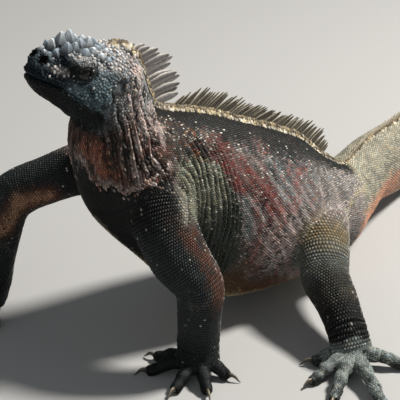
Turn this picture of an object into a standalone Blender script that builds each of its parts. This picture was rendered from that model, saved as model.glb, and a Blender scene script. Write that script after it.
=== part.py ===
"""A life-size marine iguana, standing with its front raised on straight forelegs.

Metres, +Z up. The head points to -X, the animal's left side to -Y and the tail to +X.
The body is laid out about the middle of its pelvis and is then shifted, so that the
origin is the middle of its bounding box on the floor.
"""

import math
import random

import bmesh
import bpy
import numpy as np
from mathutils import Matrix, Vector
from mathutils.bvhtree import BVHTree

# Driving dimensions
HEAD_LENGTH = 0.077
TRUNK_HALF_WIDTH = 0.061
PELVIS_HEIGHT = 0.076
TAIL_LENGTH = 0.60
NECK_SPINE = 0.037
BACK_SPINE = 0.025
TAIL_SPINE = 0.014
CLAW_LENGTH = 0.014
EYE_RADIUS = 0.0068

# The box centre of the finished animal, seen from its pelvis
BOX_MIDDLE_X = 0.1170
BOX_MIDDLE_Y = -0.0045

SEAM = 0.0003
FLESH_GRAIN = 0.0014
FOOT_GRAIN = 0.0011
HEAD_TRIANGLES = 2200
BODY_TRIANGLES = 3450
LIMB_TRIANGLES = 860

# How near a cutting plane a corner is moved onto it, so that no cut leaves a sliver
ON_PLANE = 0.00001
# Ring steps between two rows of the body's line, and how far off the skin a ray to it starts
BODY_STEPS = 10
OVER_SKIN = 0.02

LEFT = Vector((0, -1, 0))
UP = Vector((0, 0, 1))

SKIN = {
    "head": ((0.055, 0.065, 0.070), 0.55),
    "neck": ((0.110, 0.055, 0.045), 0.60),
    "torso": ((0.120, 0.055, 0.045), 0.60),
    "tail": ((0.190, 0.175, 0.110), 0.60),
    "leg": ((0.060, 0.055, 0.045), 0.55),
    "foot": ((0.035, 0.038, 0.036), 0.50),
}
EYE_COLOUR = ((0.020, 0.012, 0.008), 0.08)
CLAW_COLOUR = ((0.030, 0.026, 0.022), 0.25)


# The scene and its collections


def clear_scene():
    for obj in list(bpy.data.objects):
        bpy.data.objects.remove(obj)


def new_collection(name):
    made = bpy.data.collections.new(name)
    bpy.context.scene.collection.children.link(made)
    return made


def material(name, colour, roughness):
    made = bpy.data.materials.new(name)
    made.use_nodes = True
    shader = made.node_tree.nodes["Principled BSDF"]
    shader.inputs["Base Color"].default_value = (*colour, 1)
    shader.inputs["Roughness"].default_value = roughness
    shader.inputs["Metallic"].default_value = 0
    return made


def mesh_object(name, points, faces, collection):
    mesh = bpy.data.meshes.new(name)
    mesh.from_pydata([tuple(p) for p in points], [], faces)
    made = bpy.data.objects.new(name, mesh)
    collection.objects.link(made)
    return made


def settle(obj):
    """The object's modifiers worked into its mesh."""
    bpy.context.view_layer.update()
    graph = bpy.context.evaluated_depsgraph_get()
    mesh = bpy.data.meshes.new_from_object(obj.evaluated_get(graph))
    old = obj.data
    obj.modifiers.clear()
    obj.data = mesh
    bpy.data.meshes.remove(old)


def copy_of(obj, name, collection):
    made = bpy.data.objects.new(name, obj.data.copy())
    collection.objects.link(made)
    return made


# Lofts: a body is a row of rings along a smooth line


def through(rows, steps):
    """Rows of numbers read smoothly, with this many steps between each two."""
    rows = np.array(rows, float)
    ends = np.vstack([2 * rows[0] - rows[1], rows, 2 * rows[-1] - rows[-2]])
    t = np.linspace(0, 1, steps, endpoint=False)[:, None]
    spans = []
    for a, b, c, d in zip(ends, ends[1:], ends[2:], ends[3:]):
        cubic = 3 * b - a - 3 * c + d
        spans.append(0.5 * (2 * b + (c - a) * t + (2 * a - 5 * b + 4 * c - d) * t**2 + cubic * t**3))
    return np.vstack([*spans, rows[-1:]])


def frames(line, side):
    """For each point of the line: the way on, the left and the dorsal direction."""
    onward = np.gradient(line[:, :3], axis=0)
    onward /= np.linalg.norm(onward, axis=1)[:, None]
    side = np.array(side, float)
    left = side - (onward @ side)[:, None] * onward
    left /= np.linalg.norm(left, axis=1)[:, None]
    dorsal = np.cross(left, onward)
    return onward, left, dorsal


def rounded(value, power):
    return np.sign(value) * np.abs(value) ** (2 / power)


def loft(name, rows, collection, side=LEFT, steps=6, sides=28, back=2.0, belly=2.2):
    """Rows are x, y, z, half width, height above the line and depth below it."""
    line = through(rows, steps)
    onward, left, dorsal = frames(line, side)
    turn = np.linspace(0, 2 * math.pi, sides, endpoint=False)
    points = []
    for at, side_way, up_way in zip(line, left, dorsal):
        half, above, below = at[3:6]
        for angle in turn:
            rise = math.sin(angle)
            power = back if rise > 0 else belly
            across = rounded(math.cos(angle), power) * half
            lift = rounded(rise, power) * (above if rise > 0 else below)
            points.append(at[:3] + side_way * across + up_way * lift)
    faces = []
    for ring in range(len(line) - 1):
        for i in range(sides):
            j = (i + 1) % sides
            a, b = ring * sides, (ring + 1) * sides
            faces.append((a + i, a + j, b + j, b + i))
    faces.append(tuple(reversed(range(sides))))
    faces.append(tuple(range(len(points) - sides, len(points))))
    made = mesh_object(name, points, faces, collection)
    face_outward(made.data)
    return made


def face_outward(mesh):
    bm = bmesh.new()
    bm.from_mesh(mesh)
    bmesh.ops.recalc_face_normals(bm, faces=bm.faces)
    bm.to_mesh(mesh)
    bm.free()


def ball(name, centre, radii, collection, segments=24, rings=16):
    mesh = bpy.data.meshes.new(name)
    bm = bmesh.new()
    bmesh.ops.create_uvsphere(bm, u_segments=segments, v_segments=rings, radius=1)
    bmesh.ops.transform(bm, matrix=Matrix.Diagonal((*radii, 1)), verts=bm.verts)
    bmesh.ops.translate(bm, vec=centre, verts=bm.verts)
    bm.to_mesh(mesh)
    bm.free()
    made = bpy.data.objects.new(name, mesh)
    collection.objects.link(made)
    return made


# Modelling steps


def melted(name, pieces, grain, collection, smoothing=6):
    """Closed pieces run together into one smooth surface."""
    bm = bmesh.new()
    for piece in pieces:
        bm.from_mesh(piece.data)
        bpy.data.objects.remove(piece)
    mesh = bpy.data.meshes.new(name)
    bm.to_mesh(mesh)
    bm.free()
    made = bpy.data.objects.new(name, mesh)
    collection.objects.link(made)
    remesh = made.modifiers.new("grain", "REMESH")
    remesh.mode = "VOXEL"
    remesh.voxel_size = grain
    smooth = made.modifiers.new("smooth", "SMOOTH")
    smooth.factor = 0.5
    smooth.iterations = smoothing
    settle(made)
    keep_largest(made.data)
    return made


def keep_largest(mesh):
    """Only the closed surface that holds the most stays."""
    bm = bmesh.new()
    bm.from_mesh(mesh)
    bm.faces.ensure_lookup_table()
    left = set(bm.faces)
    shells = []
    while left:
        shell = [left.pop()]
        for face in shell:
            for edge in face.edges:
                for other in edge.link_faces:
                    if other in left:
                        left.remove(other)
                        shell.append(other)
        shells.append(shell)
    if not shells:
        bm.free()
        return
    shells.sort(key=lambda shell: sum(face.calc_area() for face in shell))
    scraps = [vert for shell in shells[:-1] for face in shell for vert in face.verts]
    bmesh.ops.delete(bm, geom=list(set(scraps)), context="VERTS")
    bm.to_mesh(mesh)
    bm.free()


def thinned(obj, triangles):
    """The mesh with about this many triangles."""
    obj.data.calc_loop_triangles()
    thin = obj.modifiers.new("thin", "DECIMATE")
    thin.ratio = min(1.0, triangles / len(obj.data.loop_triangles))
    thin.use_collapse_triangulate = True
    settle(obj)


def cut(obj, point, away):
    """What lies past the plane, on the side that away points to, is cut off."""
    bm = bmesh.new()
    bm.from_mesh(obj.data)
    way = away.normalized()
    for vert in bm.verts:
        off = (vert.co - point).dot(way)
        if abs(off) < ON_PLANE:
            vert.co -= way * off
    everything = bm.verts[:] + bm.edges[:] + bm.faces[:]
    bmesh.ops.bisect_plane(
        bm, geom=everything, plane_co=point, plane_no=away, clear_outer=True, dist=ON_PLANE
    )
    rim = [edge for edge in bm.edges if edge.is_boundary]
    bmesh.ops.holes_fill(bm, edges=rim, sides=0)
    bmesh.ops.triangulate(bm, faces=[face for face in bm.faces if len(face.verts) > 4])
    bm.to_mesh(obj.data)
    bm.free()
    keep_largest(obj.data)


def grown(obj, gap, name, collection):
    """A copy of the object, larger by the gap on every side."""
    made = copy_of(obj, name, collection)
    grow = made.modifiers.new("grow", "DISPLACE")
    grow.mid_level = 0
    grow.strength = gap
    settle(made)
    made.hide_render = True
    made.display_type = "WIRE"
    return made


def boolean(obj, other, operation):
    step = obj.modifiers.new("boolean", "BOOLEAN")
    step.operation = operation
    step.solver = "EXACT"
    step.object = other
    settle(obj)
    keep_largest(obj.data)


def fused(obj, pieces, workshop):
    """Closed pieces joined to the object in one union."""
    if not pieces:
        return
    group = bpy.data.collections.new("pieces")
    workshop.children.link(group)
    for piece in pieces:
        group.objects.link(piece)
        workshop.objects.unlink(piece)
    step = obj.modifiers.new("union", "BOOLEAN")
    step.operation = "UNION"
    step.operand_type = "COLLECTION"
    step.solver = "EXACT"
    step.collection = group
    settle(obj)
    for piece in list(group.objects):
        bpy.data.objects.remove(piece)
    bpy.data.collections.remove(group)
    keep_largest(obj.data)


def coordinates(mesh):
    flat = np.empty(len(mesh.vertices) * 3)
    mesh.vertices.foreach_get("co", flat)
    return flat.reshape(-1, 3)


def push(mesh, amount):
    """Each vertex moved along its normal by its amount."""
    normals = np.empty(len(mesh.vertices) * 3, np.float32)
    mesh.vertex_normals.foreach_get("vector", normals)
    moved = coordinates(mesh) + normals.reshape(-1, 3) * np.asarray(amount)[:, None]
    mesh.vertices.foreach_set("co", moved.ravel())
    mesh.update()


def distance_to(points, line):
    """How far each point is from a line of straight stretches."""
    line = np.array(line, float)
    nearest = np.full(len(points), 1e9)
    for a, b in zip(line, line[1:]):
        along = b - a
        t = np.clip((points - a) @ along / (along @ along), 0, 1)
        nearest = np.minimum(nearest, np.linalg.norm(points - a - t[:, None] * along, axis=1))
    return nearest


def mound(distance, form):
    """A rounded swelling, or a hollow where its height is below zero."""
    height, width = form
    return height * np.exp(-((distance / width) ** 2))


# The head, in its own frame: x forward, y to its left, z up, from the base of the skull

HEAD_BASE = Vector((-0.237, 0.003, 0.266))
HEAD_PITCH = math.radians(20)
HEAD_FORWARD = Vector((-math.cos(HEAD_PITCH), 0, math.sin(HEAD_PITCH)))
HEAD_UP = Vector((math.sin(HEAD_PITCH), 0, math.cos(HEAD_PITCH)))
HEAD_PLACE = Matrix.Translation(HEAD_BASE) @ Matrix((HEAD_FORWARD, LEFT, HEAD_UP)).transposed().to_4x4()

# How far forward, the height of the middle, half width, height above and depth below
HEAD_ROWS = (
    (1.010, -0.0045, 0.0042, 0.0042, 0.0042),
    (0.975, -0.0045, 0.0090, 0.0085, 0.0092),
    (0.925, -0.0045, 0.0128, 0.0120, 0.0148),
    (0.850, -0.0040, 0.0165, 0.0150, 0.0200),
    (0.720, -0.0030, 0.0205, 0.0222, 0.0250),
    (0.580, -0.0020, 0.0235, 0.0245, 0.0308),
    (0.430, -0.0010, 0.0270, 0.0250, 0.0365),
    (0.270, -0.0010, 0.0300, 0.0250, 0.0395),
    (0.100, -0.0010, 0.0320, 0.0252, 0.0380),
    (-0.070, 0.000, 0.0320, 0.0255, 0.0350),
    (-0.220, -0.004, 0.0300, 0.0240, 0.0320),
)
EYE = (0.0383, 0.0208, 0.0050)
NOSTRIL = (0.0715, 0.0068, 0.0098)
EARDRUM = (0.004, 0.0325, 0.000)
# The mouth in profile: how far forward and how high, from the snout back to its corner
MOUTH = (
    (0.084, 0, -0.0090), (0.070, 0, -0.0095), (0.055, 0, -0.0120), (0.042, 0, -0.0160),
    (0.030, 0, -0.0210),
)
LIP = (0, 0, 0.0036)
# How high or deep each feature of the head is, and how wide
LIP_FORM = (0.0009, 0.0018)
MOUTH_GROOVE = (-0.0022, 0.0013)
LID_FORM = (0.0016, 0.0016)
NOSTRIL_PIT = (-0.0030, 0.0030)
DRUM_RIM = (0.0008, 0.0018)
DRUM_HOLLOW = (-0.0014, 0.0045)
DRUM_RADIUS = 0.0062
LID_RADIUS = EYE_RADIUS * 1.12


def in_head(x, y, z):
    return HEAD_PLACE @ Vector((x, y, z))


def head_line():
    rows = []
    for forward, middle, half, above, below in HEAD_ROWS:
        at = in_head(forward * HEAD_LENGTH, 0, middle)
        rows.append((*at, half, above, below))
    return rows


def head_bulges(workshop):
    """The jowls, the ridges over the eyes and the swelling round the nostrils."""
    made = []
    for side in (1, -1):
        for name, at, radii in (
            ("jowl", (0.012, 0.0215, -0.0120), (0.020, 0.0130, 0.0160)),
            ("brow", (0.040, 0.0172, 0.0118), (0.018, 0.0080, 0.0062)),
            ("nose", (0.065, 0.0075, 0.0045), (0.0095, 0.0072, 0.0078)),
        ):
            lump = ball(name, (at[0], side * at[1], at[2]), radii, workshop)
            lump.data.transform(HEAD_PLACE)
            face_outward(lump.data)
            made.append(lump)
    return made


def carve_head(mesh):
    """The line of the mouth and its lips, the lids, the nostrils and the eardrums."""
    world = coordinates(mesh)
    back = np.array(HEAD_PLACE.inverted())
    local = world @ back[:3, :3].T + back[:3, 3]
    folded = local * (1, 0, 1) + np.abs(local[:, 1:2]) * (0, 1, 0)
    near = local[:, 0] > -0.012
    profile = folded * (1, 0, 1)
    line = np.array(MOUTH)
    mouth = distance_to(profile, line)
    lips = np.minimum(distance_to(profile, line + LIP), distance_to(profile, line - LIP))
    eye = np.linalg.norm((folded - EYE) / (1.25, 1, 1), axis=1)
    nostril = np.linalg.norm(folded - NOSTRIL, axis=1)
    drum = np.linalg.norm(folded - EARDRUM, axis=1)
    amount = mound(lips, LIP_FORM) + mound(mouth, MOUTH_GROOVE)
    amount += mound(eye - LID_RADIUS, LID_FORM) + mound(nostril, NOSTRIL_PIT)
    amount += mound(drum - DRUM_RADIUS, DRUM_RIM) + mound(drum, DRUM_HOLLOW)
    push(mesh, np.where(near, amount, 0))


# The neck, trunk and tail: one line of rings from inside the head to the tail's tip

TRUNK_ROWS = (
    (-0.255, 0.003, 0.283, 0.022, 0.018, 0.020),
    (-0.240, 0.003, 0.264, 0.0315, 0.034, 0.0290),
    (-0.236, 0.002, 0.236, 0.0350, 0.040, 0.0305),
    (-0.229, 0.000, 0.206, 0.0415, 0.044, 0.0445),
    (-0.203, 0.000, 0.174, 0.056, 0.057, 0.066),
    (-0.158, 0.000, 0.144, TRUNK_HALF_WIDTH * 0.93, 0.067, 0.083),
    (-0.105, 0.000, 0.110, TRUNK_HALF_WIDTH, 0.0745, 0.0945),
    (-0.050, 0.000, 0.087, TRUNK_HALF_WIDTH * 0.93, 0.0690, 0.0765),
    (0.000, 0.000, PELVIS_HEIGHT, 0.046, 0.0455, 0.056),
)
# Along the tail, how far to the right of the trunk's line, the middle's height, half width,
# height above and depth below
TAIL_ROWS = (
    (0.060, 0.012, 0.073, 0.0330, 0.0330, 0.0400),
    (0.150, 0.043, 0.069, 0.0250, 0.0380, 0.0385),
    (0.265, 0.080, 0.052, 0.0190, 0.0450, 0.0405),
    (0.400, 0.112, 0.036, 0.0145, 0.0360, 0.0320),
    (0.535, 0.128, 0.0230, 0.0110, 0.0250, 0.0236),
    (0.668, 0.122, 0.0155, 0.0082, 0.0150, 0.0160),
    (0.785, 0.100, 0.0115, 0.0062, 0.0110, 0.0120),
    (0.885, 0.079, 0.0080, 0.0045, 0.0080, 0.0085),
    (0.965, 0.068, 0.0048, 0.0030, 0.0050, 0.0053),
    (1.000, 0.066, 0.0032, 0.0018, 0.0030, 0.0034),
)


def body_line():
    tail = [(along * TAIL_LENGTH, *rest) for along, *rest in TAIL_ROWS]
    return [*TRUNK_ROWS, *tail]


# The neck's folds run down from its top to its foot, and the collar crosses the throat below
NECK_AXIS = ((-0.240, 0.003, 0.264), (-0.228, 0, 0.206))
NECK_BACK = -0.185
FOLD_HEIGHT = 0.0011
FOLDS_ROUND = 13
FOLD_WAVE = 1.5
FOLD_ENDS = (-0.05, 1.25)
FOLD_RISE = 0.25
COLLAR = ((-0.300, 0, 0.176), (-0.235, 0, 0.160), (-0.175, 0, 0.185))
COLLAR_FOLD = (-0.0022, 0.0035)


def wrinkle_neck(mesh):
    """Upright folds down the neck, and the fold that closes the throat above the chest."""
    world = coordinates(mesh)
    top, foot = np.array(NECK_AXIS)
    down = (top[2] - world[:, 2]) / (top[2] - foot[2])
    centre = top + np.clip(down, 0, FOLD_ENDS[1])[:, None] * (foot - top)
    round_it = np.arctan2(world[:, 1] - centre[:, 1], centre[:, 0] - world[:, 0])
    ahead = world[:, 0] < NECK_BACK
    rise = np.clip((down - FOLD_ENDS[0]) / FOLD_RISE, 0, 1)
    rise *= np.clip((FOLD_ENDS[1] - down) / FOLD_RISE, 0, 1)
    folds = FOLD_HEIGHT * np.sin(FOLDS_ROUND * round_it + FOLD_WAVE * np.sin(3 * down)) * rise
    collar = mound(distance_to(world * (1, 0, 1), COLLAR), COLLAR_FOLD)
    push(mesh, np.where(ahead, folds + collar, 0))


def raise_ridge(mesh):
    """The low crusty ridge that the crest's spines stand in."""
    surface, _, _ = dorsal_line()
    push(mesh, mound(distance_to(coordinates(mesh), surface[3:-4]), RIDGE_FORM))


def build_body(workshop):
    pieces = [
        loft("head form", head_line(), workshop, steps=6, sides=40, back=2.1, belly=2.3),
        loft("body form", body_line(), workshop, steps=BODY_STEPS, sides=48, back=1.9, belly=2.2),
        *head_bulges(workshop),
    ]
    body = melted("body", pieces, FLESH_GRAIN, workshop)
    carve_head(body.data)
    wrinkle_neck(body.data)
    raise_ridge(body.data)
    return body


# Where the body is parted: a point, and the direction that leads to the tail there

NECK_TOP = (Vector((-0.238, 0.003, 0.252)), Vector((0.22, 0, -0.975)))
NECK_FOOT = (Vector((-0.214, 0, 0.190)), Vector((0.62, 0, -0.785)))
VENT = (Vector((0.036, 0.012, 0.072)), Vector((0.87, 0.49, 0)))
TAIL_CUTS = (0.25, 0.50, 0.75)


def tail_plane(fraction):
    line = through(body_line(), BODY_STEPS)
    lengths = np.concatenate([[0], np.cumsum(np.linalg.norm(np.diff(line[:, :3], axis=0), axis=1))])
    start = lengths[np.argmin(np.abs(line[:, 0] - VENT[0].x))]
    at = np.searchsorted(lengths, start + fraction * (lengths[-1] - start))
    onward = line[at + 1, :3] - line[at - 1, :3]
    onward[2] = 0
    return Vector(line[at, :3]), Vector(onward).normalized()


def part_between(obj, name, ahead, behind, collection):
    """The stretch of the object between two planes, half a seam short of each."""
    made = copy_of(obj, name, collection)
    if ahead:
        point, way = ahead
        way = way.normalized()
        cut(made, point + way * (SEAM / 2), -way)
    if behind:
        point, way = behind
        way = way.normalized()
        cut(made, point - way * (SEAM / 2), way)
    return made


# Legs: rows are x, y, z and three radii, then the foot's middle and each digit's tip

ARM_LEFT = (
    (-0.200, -0.024, 0.164, 0.030, 0.032, 0.032),
    (-0.213, -0.048, 0.142, 0.028, 0.029, 0.029),
    (-0.211, -0.069, 0.114, 0.0265, 0.0265, 0.0265),
    (-0.2005, -0.0855, 0.088, 0.0218, 0.0222, 0.0226),
    (-0.2000, -0.0860, 0.058, 0.0190, 0.0195, 0.0195),
    (-0.2005, -0.0850, 0.026, 0.0182, 0.0187, 0.0187),
    (-0.202, -0.087, 0.010, 0.0200, 0.0190, 0.0190),
)
ARM_RIGHT = (
    (-0.200, 0.024, 0.164, 0.028, 0.030, 0.030),
    (-0.222, 0.048, 0.158, 0.0250, 0.0255, 0.0260),
    (-0.254, 0.074, 0.142, 0.0215, 0.0215, 0.0215),
    (-0.284, 0.099, 0.119, 0.0205, 0.0215, 0.0215),
    (-0.295, 0.110, 0.072, 0.0195, 0.0200, 0.0200),
    (-0.300, 0.117, 0.028, 0.0180, 0.0185, 0.0185),
    (-0.305, 0.119, 0.010, 0.0200, 0.0185, 0.0185),
)
LEG_LEFT = (
    (-0.011, -0.016, 0.080, 0.023, 0.025, 0.025),
    (-0.033, -0.046, 0.077, 0.0240, 0.0255, 0.0255),
    (-0.0505, -0.070, 0.066, 0.0235, 0.0245, 0.0245),
    (-0.061, -0.087, 0.053, 0.0218, 0.0225, 0.0225),
    (-0.068, -0.113, 0.043, 0.0192, 0.0195, 0.0195),
    (-0.0775, -0.141, 0.030, 0.0175, 0.0170, 0.0170),
    (-0.080, -0.154, 0.012, 0.0190, 0.0150, 0.0150),
)
LEG_RIGHT = (
    (-0.010, 0.016, 0.080, 0.023, 0.025, 0.025),
    (-0.029, 0.048, 0.077, 0.0240, 0.0255, 0.0255),
    (-0.0455, 0.074, 0.066, 0.0235, 0.0245, 0.0245),
    (-0.054, 0.093, 0.053, 0.0218, 0.0225, 0.0225),
    (-0.038, 0.119, 0.043, 0.0192, 0.0195, 0.0195),
    (-0.0265, 0.141, 0.030, 0.0175, 0.0170, 0.0170),
    (-0.026, 0.152, 0.012, 0.0190, 0.0150, 0.0150),
)
# Each digit's angle about +Z in degrees and its length with the claw, from the innermost out
HAND_LEFT = ((118, 0.054), (152, 0.056), (206, 0.052), (248, 0.050), (300, 0.040))
HAND_RIGHT = ((256, 0.046), (218, 0.054), (184, 0.058), (150, 0.054), (108, 0.042))
FOOT_LEFT = ((148, 0.046), (188, 0.062), (218, 0.078), (252, 0.096), (316, 0.060))
FOOT_RIGHT = ((205, 0.046), (176, 0.062), (148, 0.078), (118, 0.096), (62, 0.060))

LIMBS = {
    "left_arm": (ARM_LEFT, HAND_LEFT, ("left_upper_arm", "left_forearm", "left_forefoot")),
    "right_arm": (ARM_RIGHT, HAND_RIGHT, ("right_upper_arm", "right_forearm", "right_forefoot")),
    "left_leg": (LEG_LEFT, FOOT_LEFT, ("left_thigh", "left_shin", "left_hindfoot")),
    "right_leg": (LEG_RIGHT, FOOT_RIGHT, ("right_thigh", "right_shin", "right_hindfoot")),
}
ELBOW_ROW = 3
WRIST_ROW = 5
DIGIT_RADIUS = 0.0054
KNUCKLE_HEIGHT = 0.0125
TOE_HEIGHT = 0.0036
CLAW_RADIUS = 0.0030


def digit_line(middle, angle, length):
    """From the foot's middle over the knuckle down to the root of the claw."""
    way = Vector((math.cos(math.radians(angle)), math.sin(math.radians(angle)), 0))
    flesh = length - CLAW_LENGTH * 0.7
    rows = []
    for along, height, radius in (
        (0.00, 0.0110, DIGIT_RADIUS * 1.7),
        (0.35, KNUCKLE_HEIGHT, DIGIT_RADIUS * 1.3),
        (0.62, KNUCKLE_HEIGHT * 0.92, DIGIT_RADIUS * 1.02),
        (0.85, TOE_HEIGHT * 1.7, DIGIT_RADIUS * 0.92),
        (1.00, TOE_HEIGHT, DIGIT_RADIUS * 0.82),
    ):
        at = Vector((middle.x, middle.y, height)) + way * (flesh * along)
        rows.append((*at, radius, radius, radius))
    return rows, way


def claw_line(rows, way):
    """A curved horn from inside the digit's end down to the floor."""
    root = Vector(rows[-1][:3]) - way * 0.0022
    made = []
    for along in (0, 0.5, 1):
        at = root + way * (CLAW_LENGTH * along)
        at.z = TOE_HEIGHT + 0.0030 * math.sin(math.pi * min(along * 1.15, 1)) - 0.0026 * along**2
        radius = CLAW_RADIUS * (1 - 0.86 * along)
        made.append((*at, radius * 0.75, radius, radius))
    return made


def build_limb(key, trunk_cutter, workshop, parts):
    rows, digits, names = LIMBS[key]
    onward = Vector(rows[-1][:3]) - Vector(rows[0][:3])
    side = onward.cross(UP).normalized()
    middle = Vector(rows[-1][:3])
    pieces = [loft("leg form", rows, workshop, side=side, steps=6, sides=24, belly=2.0)]
    claws = []
    for number, (angle, length) in enumerate(digits, 1):
        line, way = digit_line(middle, angle, length)
        across = way.cross(UP)
        pieces.append(loft("digit form", line, workshop, side=across, steps=3, sides=12, belly=2.0))
        claw = loft(f"{names[2]}_claw_{number}", claw_line(line, way), parts, side=across,
                    steps=1, sides=5, belly=2.0)
        claw.data.materials.append(CLAW)
        claws.append(claw)
    limb = melted(key, pieces, FOOT_GRAIN, workshop, smoothing=5)
    thinned(limb, LIMB_TRIANGLES)
    boolean(limb, trunk_cutter, "DIFFERENCE")
    planes = []
    for row in (ELBOW_ROW, WRIST_ROW):
        before, at, after = (Vector(rows[i][:3]) for i in (row - 1, row, row + 1))
        planes.append((at, (after - before).normalized()))
    made = [
        part_between(limb, names[0], None, planes[0], parts),
        part_between(limb, names[1], planes[0], planes[1], parts),
        part_between(limb, names[2], planes[1], None, parts),
    ]
    bpy.data.objects.remove(limb)
    for claw in claws:
        socket = grown(claw, SEAM, "socket", workshop)
        boolean(made[2], socket, "DIFFERENCE")
        bpy.data.objects.remove(socket)
    cut(made[2], Vector((0, 0, 0)), -UP)
    for part, kind in zip(made, ("leg", "leg", "foot")):
        part.data.materials.clear()
        part.data.materials.append(SURFACES[kind])
    return made


# The crest: from the nape down the neck, along the back and on to the end of the tail

# Stretches of crest: where along X each starts and stops, how many spines it has, the length
# of the fullest, how far along it the others are which share of that, and how far along they
# lean back by how many degrees
NAPE_CREST = (
    -0.238, -0.191, 12, NECK_SPINE,
    ((0.0, 0.10), (0.25, 0.16), (0.40, 0.45), (0.60, 0.92), (0.90, 1.0), (1.0, 0.55)),
    ((0.0, 8), (0.35, 4), (0.60, -16), (1.0, -8)),
)
BACK_CREST = (
    -0.173, -0.003, 27, BACK_SPINE,
    ((0.0, 0.70), (0.08, 1.02), (0.40, 0.98), (0.70, 0.78), (0.88, 0.80), (1.0, 0.42)),
    ((0.0, 4), (0.20, 20), (0.45, 33), (1.0, 38)),
)
TAIL_CREST = (
    0.024, 0.560, 40, TAIL_SPINE,
    ((0.0, 0.30), (0.10, 0.60), (0.35, 1.0), (1.0, 0.22)),
    ((0.0, 38), (1.0, 38)),
)
CREST_ROOT = 0.0035
SPINE_THICKNESS = 0.0024
SPINE_FILL = 0.90
SPINE_ASPECT = 0.6
RIDGE_FORM = (0.0032, 0.0042)


def dorsal_line():
    """The body's dorsal surface, with the way on and the dorsal direction there."""
    line = through(body_line(), BODY_STEPS)
    onward, left, dorsal = frames(line, LEFT)
    return line[:, :3] + dorsal * line[:, 4:5], onward, dorsal


def crest_feet(start, stop, count):
    """Even steps along the dorsal surface: where each is, the way on, the dorsal direction, the
    fraction of the stretch and the length of a step."""
    surface, onward, dorsal = dorsal_line()
    steps = np.linalg.norm(np.diff(surface, axis=0), axis=1)
    lengths = np.concatenate([[0], np.cumsum(steps)])
    first, last = np.interp((start, stop), surface[:, 0], lengths)
    for number in range(count):
        fraction = (number + 0.5) / count
        length = first + fraction * (last - first)
        found = [Vector([np.interp(length, lengths, column) for column in rows.T])
                 for rows in (surface, onward, dorsal)]
        yield *found, fraction, (last - first) / count


def read_at(fraction, profile):
    """A value between the points of a profile, each a place and the value there."""
    return float(np.interp(fraction, *zip(*profile)))


def spine(foot, onward, dorsal, length, breadth, lean, collection):
    """A flat blade that leans and curls tailwards, and tapers to a blunt tip."""
    way = dorsal * math.cos(lean) + onward * math.sin(lean)
    rows = []
    for along, wide, thick, curl in ((0, 1, 1, 0), (0.55, 0.80, 0.75, 0.03), (1, 0.14, 0.25, 0.13)):
        at = foot + way * (length * along - CREST_ROOT * (1 - along)) + onward * (length * curl)
        half = breadth / 2 * wide
        rows.append((*at, SPINE_THICKNESS / 2 * thick, half, half))
    return loft("spine", rows, collection, side=onward.cross(way), steps=1, sides=4, belly=2.0)


def surface_of(obj):
    mesh = obj.data
    return BVHTree.FromPolygons([v.co for v in mesh.vertices], [p.vertices for p in mesh.polygons])


def crest(obj, ahead, behind, workshop):
    """The spines whose feet stand on this object, clear of its seams, fused to it."""
    surface = surface_of(obj)
    pieces = []
    for start, stop, count, fullest, shares, leans in (NAPE_CREST, BACK_CREST, TAIL_CREST):
        for at, onward, dorsal, fraction, spacing in crest_feet(start, stop, count):
            length = fullest * read_at(fraction, shares)
            lean = math.radians(read_at(fraction, leans))
            breadth = min(spacing, SPINE_ASPECT * length) * SPINE_FILL
            clear = breadth / 2 + 2 * SEAM
            if ahead and (at - ahead[0]).dot(ahead[1].normalized()) < clear:
                continue
            if behind and (behind[0] - at).dot(behind[1].normalized()) < clear:
                continue
            foot = surface.ray_cast(at + dorsal * OVER_SKIN, -dorsal)[0]
            if foot is not None:
                pieces.append(spine(foot, onward, dorsal, length, breadth, lean, workshop))
    fused(obj, pieces, workshop)


# The horny plates on the head: rows across the snout and the brow, highest over the brow.
# Each row's place along the head, its spacing, how many there are and their height

PLATE_ROWS = (
    (0.86, 0.0080, 2, 0.0045), (0.77, 0.0090, 3, 0.0098), (0.67, 0.0100, 3, 0.0124),
    (0.56, 0.0105, 3, 0.0130), (0.45, 0.0105, 4, 0.0118), (0.33, 0.0100, 4, 0.0068),
    (0.21, 0.0095, 5, 0.0036),
)
PLATE_ROOT = 0.0034
PLATE_LEAN = 0.10
PLATE_FOOT = 0.60
PLATE_TOP = 0.17
PLATE_VARIETY = (0.8, 1.15)


def horny_plates(head, workshop):
    """Blunt cones of five sides on the top of the head."""
    draw = random.Random(5)
    surface = surface_of(head)
    pieces = []
    for forward, spacing, count, height in PLATE_ROWS:
        for number in range(count):
            across = (number - (count - 1) / 2) * spacing
            start = in_head(forward * HEAD_LENGTH, across, HEAD_LENGTH)
            foot, normal, _, _ = surface.ray_cast(start, -HEAD_UP)
            rise = height * draw.uniform(*PLATE_VARIETY)
            way = (normal + HEAD_FORWARD * PLATE_LEAN).normalized()
            mesh = bpy.data.meshes.new("plate")
            bm = bmesh.new()
            bmesh.ops.create_cone(bm, cap_ends=True, segments=5, radius1=spacing * PLATE_FOOT,
                                  radius2=spacing * PLATE_TOP, depth=rise + PLATE_ROOT)
            bmesh.ops.translate(bm, vec=(0, 0, (rise - PLATE_ROOT) / 2), verts=bm.verts)
            turned = way.to_track_quat("Z", "Y").to_matrix().to_4x4()
            bmesh.ops.transform(bm, matrix=Matrix.Translation(foot) @ turned, verts=bm.verts)
            bm.to_mesh(mesh)
            bm.free()
            plate = bpy.data.objects.new("plate", mesh)
            workshop.objects.link(plate)
            pieces.append(plate)
    fused(head, pieces, workshop)


# Putting it together


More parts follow.
